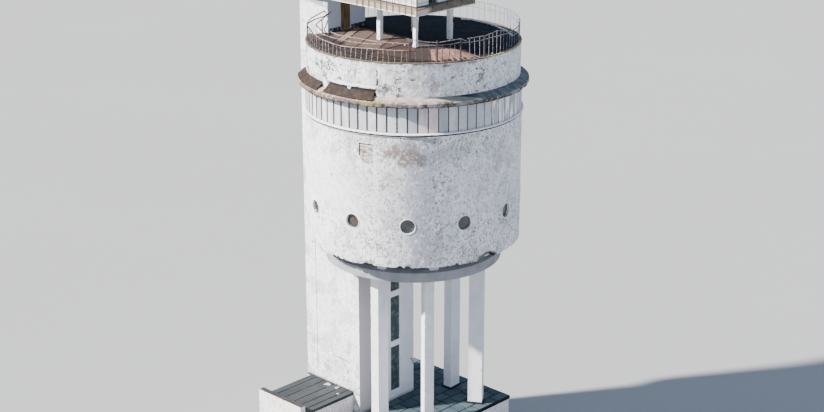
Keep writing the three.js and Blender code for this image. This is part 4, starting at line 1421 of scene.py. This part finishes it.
class TOWER_OT_platform(bpy.types.Operator):
    """Posts, platform slab, cabin and the bars round the platform"""

    bl_idname = "tower.platform"
    bl_label = "Upper platform"

    def execute(self, context):
        paintwork = plaster_finish("post_paint", (250, 250, 250), speckle=0.3)
        for number in range(1, 5):
            low, high = corners(f"deck_post_{number}")
            shape = block(low, high, 0.05, 0.01, 0.02, 300 + number, 0.4)
            if number == 2:
                points = shape[0]
                middle = (low + high)[:2] / 2
                waist = 0.24 * smooth(points[:, 2], 31.3, 30.9) * smooth(points[:, 2], 29.6, 29.85)
                waist = waist * (0.8 + 0.4 * ripple(points[:, 2], 0 * points[:, 2], 0.25, 305))
                points[:, :2] = middle + (points[:, :2] - middle) * (1 - waist[:, None])
            make_piece(f"post_{number}", shape, paintwork, "plaster", [f"deck_post_{number}"])
        top, lip, inset = SLAB_HIGH[2], SLAB_LOW[2] + 0.08, 0.03
        shape = block(SLAB_LOW, [*SLAB_HIGH[:2], lip], 0.12, 0.006, 0.02, 309)
        paintwork = plaster_finish("lip_paint", (226, 222, 214), speckle=0.5)
        make_piece("platform_lip", shape, paintwork, "plaster", ["platform_slab"])
        low, high = [*(SLAB_LOW[:2] + inset), lip - 0.01], [*(SLAB_HIGH[:2] - inset), top]
        shape = block(low, high, 0.12, 0.008, 0.02, 310)
        x, y, z = shape[0].T
        side = smooth(x, SLAB_HIGH[0] - 0.2, SLAB_HIGH[0] - 0.05)
        floor = smooth(z, top - 0.06, top - 0.02)
        moss = np.maximum(0.95 * side * smooth(y, -2.6, -2.2), 0.9 * floor)
        pale = 0.8 * side * smooth(y, -2.2, -2.6) * (1 - floor)
        slab = concrete_finish("slab_concrete", (158, 142, 122), (138, 124, 106))
        make_piece("platform_floor", shape, slab, "concrete", ["platform_slab"], moss=moss, pale=pale)
        plaster = plaster_finish("cabin_plaster", (240, 240, 238), speckle=0.25)
        doorway = [(AXIS[1] - 2.69, AXIS[1] - 1.89, CABIN_LOW[2] - 1, top + 2.1)]
        box_walls("cabin", CABIN_LOW, CABIN_HIGH, 0.2, plaster, doorway)
        shape = block(*corners("cabin_roof"), 0.15, 0.006, 0.01, 320)
        roofing = roof_sheet_finish("cabin_sheet", (150, 152, 154), (172, 172, 170))
        make_piece("cabin_roofing", shape, roofing, "sheet", ["cabin_roof"])
        low = [CABIN_LOW[0], CABIN_LOW[1] - 0.02, top - 0.02]
        high = [CABIN_HIGH[0] + 0.02, CABIN_HIGH[1] + 0.02, top + 0.07]
        make_piece("cabin_foot", block(low, high, 0.3, 0.004, 0.01, 321), joint_finish(), "plaster")
        refinish(steel_finish("dark_steel", (88, 83, 78), (62, 54, 50)), "platform_railing")
        return {"FINISHED"}


# Pylons and bearing ring


PYLON_TURNS = (4, 57, 121, 184, 240)        # degrees that each pylon is turned about its own axis
PYLON_HALF = np.array([0.325, 0.495])       # half sizes of a pylon in plan before it is turned
STUB_TURNS = -14.25 + 36 * np.arange(8)     # azimuths of the stubs between the ring and the tank
STUB_HALF = np.array([0.292, 0.262])        # half sizes of a stub in plan with its coat
STUB_R, STUB_LOW = 5.18, 15.43              # how far out the stubs stand, and their foot


class TOWER_OT_supports(bpy.types.Operator):
    """Concrete pylons and the bearing ring with its stubs"""

    bl_idname = "tower.supports"
    bl_label = "Supports"

    def execute(self, context):
        pale = concrete_finish("pylon_concrete", (226, 226, 230), (216, 217, 223), (180, 180, 184))
        half, collars = PYLON_HALF, []
        for number, turn in enumerate(PYLON_TURNS, 1):
            low, high = corners(f"pylon_{number}")
            centre, foot, top = ((low + high) / 2)[:2], low[2], high[2]
            cast = block([*(centre - half), foot], [*(centre + half), top], 0.08, 0.006, 0.014, 330 + number)
            cast = turned(cast, turn, centre)
            make_piece(f"pylon_cast_{number}", cast, pale, "concrete", [f"pylon_{number}"])
            low, high = [*(centre - half - 0.12), foot - 0.01], [*(centre + half + 0.12), foot + 0.15]
            collar = block(low, high, 0.15, 0.004, 0.01, 340 + number)
            taper = 1 - 0.1 * smooth(collar[0][:, 2:], foot + 0.03, foot + 0.15)
            collar[0][:, :2] = centre + (collar[0][:, :2] - centre) * taper
            collars.append(turned(collar, turn, centre))
        dark = felt_finish("collar_felt", (30, 38, 46), (46, 54, 62))
        make_piece("pylon_collars", joined(collars), dark, "felt")
        coats = []
        for turn in STUB_TURNS:
            centre = polar(turn, STUB_R, 0)[0][:2]
            low, high = [*(centre - STUB_HALF), STUB_LOW], [*(centre + STUB_HALF), TANK_LOW - 0.01]
            coats.append(turned(block(low, high, 0.09, 0.006, 0.015, 350, 0.3), turn, centre))
        paintwork = plaster_finish("stub_paint", (250, 250, 250), speckle=0.2)
        make_piece("stub_coats", joined(coats), paintwork, "plaster")
        ring = concrete_finish("ring_concrete", (144, 145, 150), (130, 132, 138), (112, 96, 86))
        refinish(ring, "bearing_ring_1", "bearing_ring_2")
        return {"FINISHED"}


# Base and annex


def felt_sheets(base, finish):
    """Sheets of felt in rows on the base roof: rows side by side along x, each cut along y at
    lengths that vary, with dark seams between them. Every sheet is a small grid, a little uneven."""
    draw = np.random.default_rng(401)
    low, high = BASE_LOW, BASE_HIGH
    tower = TOWER_HIGH + 0.02
    edges = [tower[0], -0.7, 0.33, 1.2, 2.2, 3.18, high[0]]
    rows = [(a, b, low[1], high[1]) for a, b in zip(edges, edges[1:])]
    rows.append((corners("annex_roof")[1][0] + 0.03, tower[0], low[1], TOWER_LOW[1] - 0.03))
    edges = [low[0], -5.55, -4.5, -3.6, -2.45, tower[0]]
    rows += [(a, b, tower[1], high[1]) for a, b in zip(edges, edges[1:])]
    shapes, tones = [], []
    across, along = np.meshgrid(np.linspace(0, 1, 5), np.linspace(0, 1, 5))
    for left, right, first, last in rows:
        cuts = [first]
        while last - cuts[-1] > 1.3 * base.felt:
            cuts.append(cuts[-1] + base.felt * draw.uniform(0.62, 1.3))
        cuts.append(last)
        for near, far in zip(cuts, cuts[1:]):
            x = left + base.seam / 2 + (right - left - base.seam) * across
            y = near + base.seam / 2 + (far - near - base.seam) * along
            z = high[2] + 0.032 + 0.005 * fractal(x, y, 0.6, 402)
            top = np.stack([x, y, z], axis=-1).reshape(-1, 3)
            under = top * [1, 1, 0] + [0, 0, high[2] - 0.004]
            shapes.append(shell(top, under, grid_faces(5, 5)))
            tones.append(np.full(2 * len(top), 0.45 * draw.random() ** 2))
    make_piece("base_felt_sheets", joined(shapes), finish, "felt", worn=np.concatenate(tones))


def annex_details():
    """Dark seams along the annex roof, pale splashes, and the cover on top of the kerb."""
    low, high = corners("annex_roof")
    at = np.array([-5.65, -4.87, -3.95, -3.2, -2.55])
    level = 0 * at + ANNEX_ROOF + 0.008
    seams = bars(np.stack([at, 0 * at + low[1] + 0.05, level], axis=1),
                 np.stack([at, 0 * at + high[1] - 0.05, level], axis=1), 0.045, 0.03)
    make_piece("annex_seams", seams, felt_finish("seam_felt", (38, 40, 42), (52, 54, 56)), "sheet")
    splashes = []
    for number, (x, y, reach) in enumerate([(-4.27, -3.49, 0.2), (-3.38, -3.38, 0.16), (-2.6, -4.1, 0.1)]):
        def distance(px, py):
            return reach - np.hypot(px - x, py - y) + 0.28 * fractal(px, py, 0.17, 411 + number)
        splashes.append(plate(0.05, (x - 0.4, y - 0.4), (x + 0.4, min(y + 0.4, high[1])), distance,
                              lambda px, py: ANNEX_ROOF + 0.012, lambda px, py: ANNEX_ROOF - 0.004))
    pale = plaster_finish("splash", (104, 101, 99), speckle=0.2)
    make_piece("annex_splashes", joined(splashes), pale, "plaster")
    kerb = ANNEX_HIGH[2]
    cover = block([ANNEX_LOW[0] + 0.01, ANNEX_LOW[1] + 0.01, kerb - 0.01],
                  [ANNEX_HIGH[0] - 0.01, low[1] + 0.02, kerb + 0.03], 0.15, 0.006, 0.015, 415)
    make_piece("annex_kerb_cover", cover, concrete_finish("kerb_cover", (58, 57, 57), (50, 49, 49)), "sheet")


class TOWER_OT_base(bpy.types.Operator):
    """Base and annex walls with their roofs"""

    bl_idname = "tower.base"
    bl_label = "Base and annex"

    def execute(self, context):
        refinish(felt_finish("base_seams", (22, 28, 34), (30, 36, 42), (40, 46, 52)), "base_roof")
        refinish(plaster_finish("base_plaster", (226, 222, 220)), "base_walls")
        refinish(plaster_finish("annex_plaster", (236, 226, 221)), "annex_walls")
        refinish(roof_sheet_finish("annex_sheet", (51, 54, 56), (62, 65, 67), (72, 72, 70)), "annex_roof")
        felt = felt_finish("base_felt", (56, 70, 76), (70, 84, 90), (88, 98, 103))
        felt_sheets(context.scene.tower_base, felt)
        annex_details()
        return {"FINISHED"}


# Stage


CAMERA_HEIGHT = 52.2


class TOWER_OT_stage(bpy.types.Operator):
    """Pale floor, soft sun, even light from all round, and the camera"""

    bl_idname = "tower.stage"
    bl_label = "Stage"

    def execute(self, context):
        stage = context.scene.tower_stage
        edge = 500.0
        mesh = bpy.data.meshes.new("floor")
        plan = [(-edge, -edge, 0), (edge, -edge, 0), (edge, edge, 0), (-edge, edge, 0)]
        mesh.from_pydata(plan, [], [(0, 1, 2, 3)])
        floor = bpy.data.objects.new("floor", mesh)
        work = Finish("floor_pale", (145, 146, 147), roughness=1.0, specular=0.0)
        work.coat((148, 149, 150), work.clouds(30, 2))
        mesh.materials.append(work.done())
        context.scene.collection.objects.link(floor)

        light = bpy.data.lights.new("sun", "SUN")
        light.energy = stage.sun
        light.angle = math.radians(2.5)
        light.color = (1.0, 0.955, 0.9)
        sun = bpy.data.objects.new("sun", light)
        level = math.cos(stage.sun_height)
        towards = Vector((level * math.sin(stage.sun_azimuth), -level * math.cos(stage.sun_azimuth),
                          math.sin(stage.sun_height)))
        sun.rotation_euler = towards.to_track_quat("Z", "Y").to_euler()
        context.scene.collection.objects.link(sun)

        world = bpy.data.worlds.new("sky")
        world.use_nodes = True
        sky = world.node_tree.nodes["Background"].inputs
        sky["Color"].default_value = (0.6, 0.75, 1.0, 1.0)
        sky["Strength"].default_value = stage.sky
        context.scene.world = world

        camera = bpy.data.objects.new("camera", bpy.data.cameras.new("camera"))
        camera.data.lens = stage.lens
        camera.data.sensor_width = 36.0
        camera.data.clip_end = 1500.0
        seat, aim, pitch = math.radians(43.752), math.radians(43.804), math.radians(18.91)
        x = AXIS[0] + stage.distance * math.sin(seat)
        y = AXIS[1] - stage.distance * math.cos(seat)
        camera.location = (x, y, CAMERA_HEIGHT)
        level = math.cos(pitch)
        forward = Vector((-math.sin(aim) * level, math.cos(aim) * level, -math.sin(pitch)))
        camera.rotation_euler = forward.to_track_quat("-Z", "Y").to_euler()
        context.scene.collection.objects.link(camera)
        context.scene.camera = camera
        return {"FINISHED"}


class TOWER_PT_panel(bpy.types.Panel):
    """Lists the steps of the water tower"""

    bl_idname = "TOWER_PT_panel"
    bl_label = "Water Tower"
    bl_space_type = "VIEW_3D"
    bl_region_type = "UI"
    bl_category = "Water Tower"

    def draw(self, context):
        for name in SETTINGS:
            box = self.layout.box()
            group = getattr(context.scene, name)
            for label in group.__annotations__:
                box.prop(group, label)
        for operator in OPERATORS:
            self.layout.operator(operator.bl_idname)


SETTINGS = {
    "tower_walls": TOWER_PG_walls,
    "tower_band": TOWER_PG_band,
    "tower_deck": TOWER_PG_deck,
    "tower_base": TOWER_PG_base,
    "tower_stage": TOWER_PG_stage,
}
OPERATORS = (
    TOWER_OT_stage, TOWER_OT_drum, TOWER_OT_band, TOWER_OT_ledge, TOWER_OT_parapet, TOWER_OT_deck,
    TOWER_OT_deck_railing, TOWER_OT_stair_tower, TOWER_OT_platform, TOWER_OT_supports, TOWER_OT_base,
)


def register():
    """Registers the settings, the operators and the panel."""
    for group in SETTINGS.values():
        bpy.utils.register_class(group)
    for operator in OPERATORS:
        bpy.utils.register_class(operator)
    bpy.utils.register_class(TOWER_PT_panel)
    for name, group in SETTINGS.items():
        setattr(bpy.types.Scene, name, PointerProperty(type=group))


def unregister():
    """Takes off the settings, the panel and the operators."""
    for name in SETTINGS:
        delattr(bpy.types.Scene, name)
    bpy.utils.unregister_class(TOWER_PT_panel)
    for operator in reversed(OPERATORS):
        bpy.utils.unregister_class(operator)
    for group in reversed(list(SETTINGS.values())):
        bpy.utils.unregister_class(group)


def main():
    """Makes every piece in order."""
    register()
    for operator in OPERATORS:
        group, name = operator.bl_idname.split(".")
        getattr(getattr(bpy.ops, group), name)()


if __name__ == "__main__":
    main()
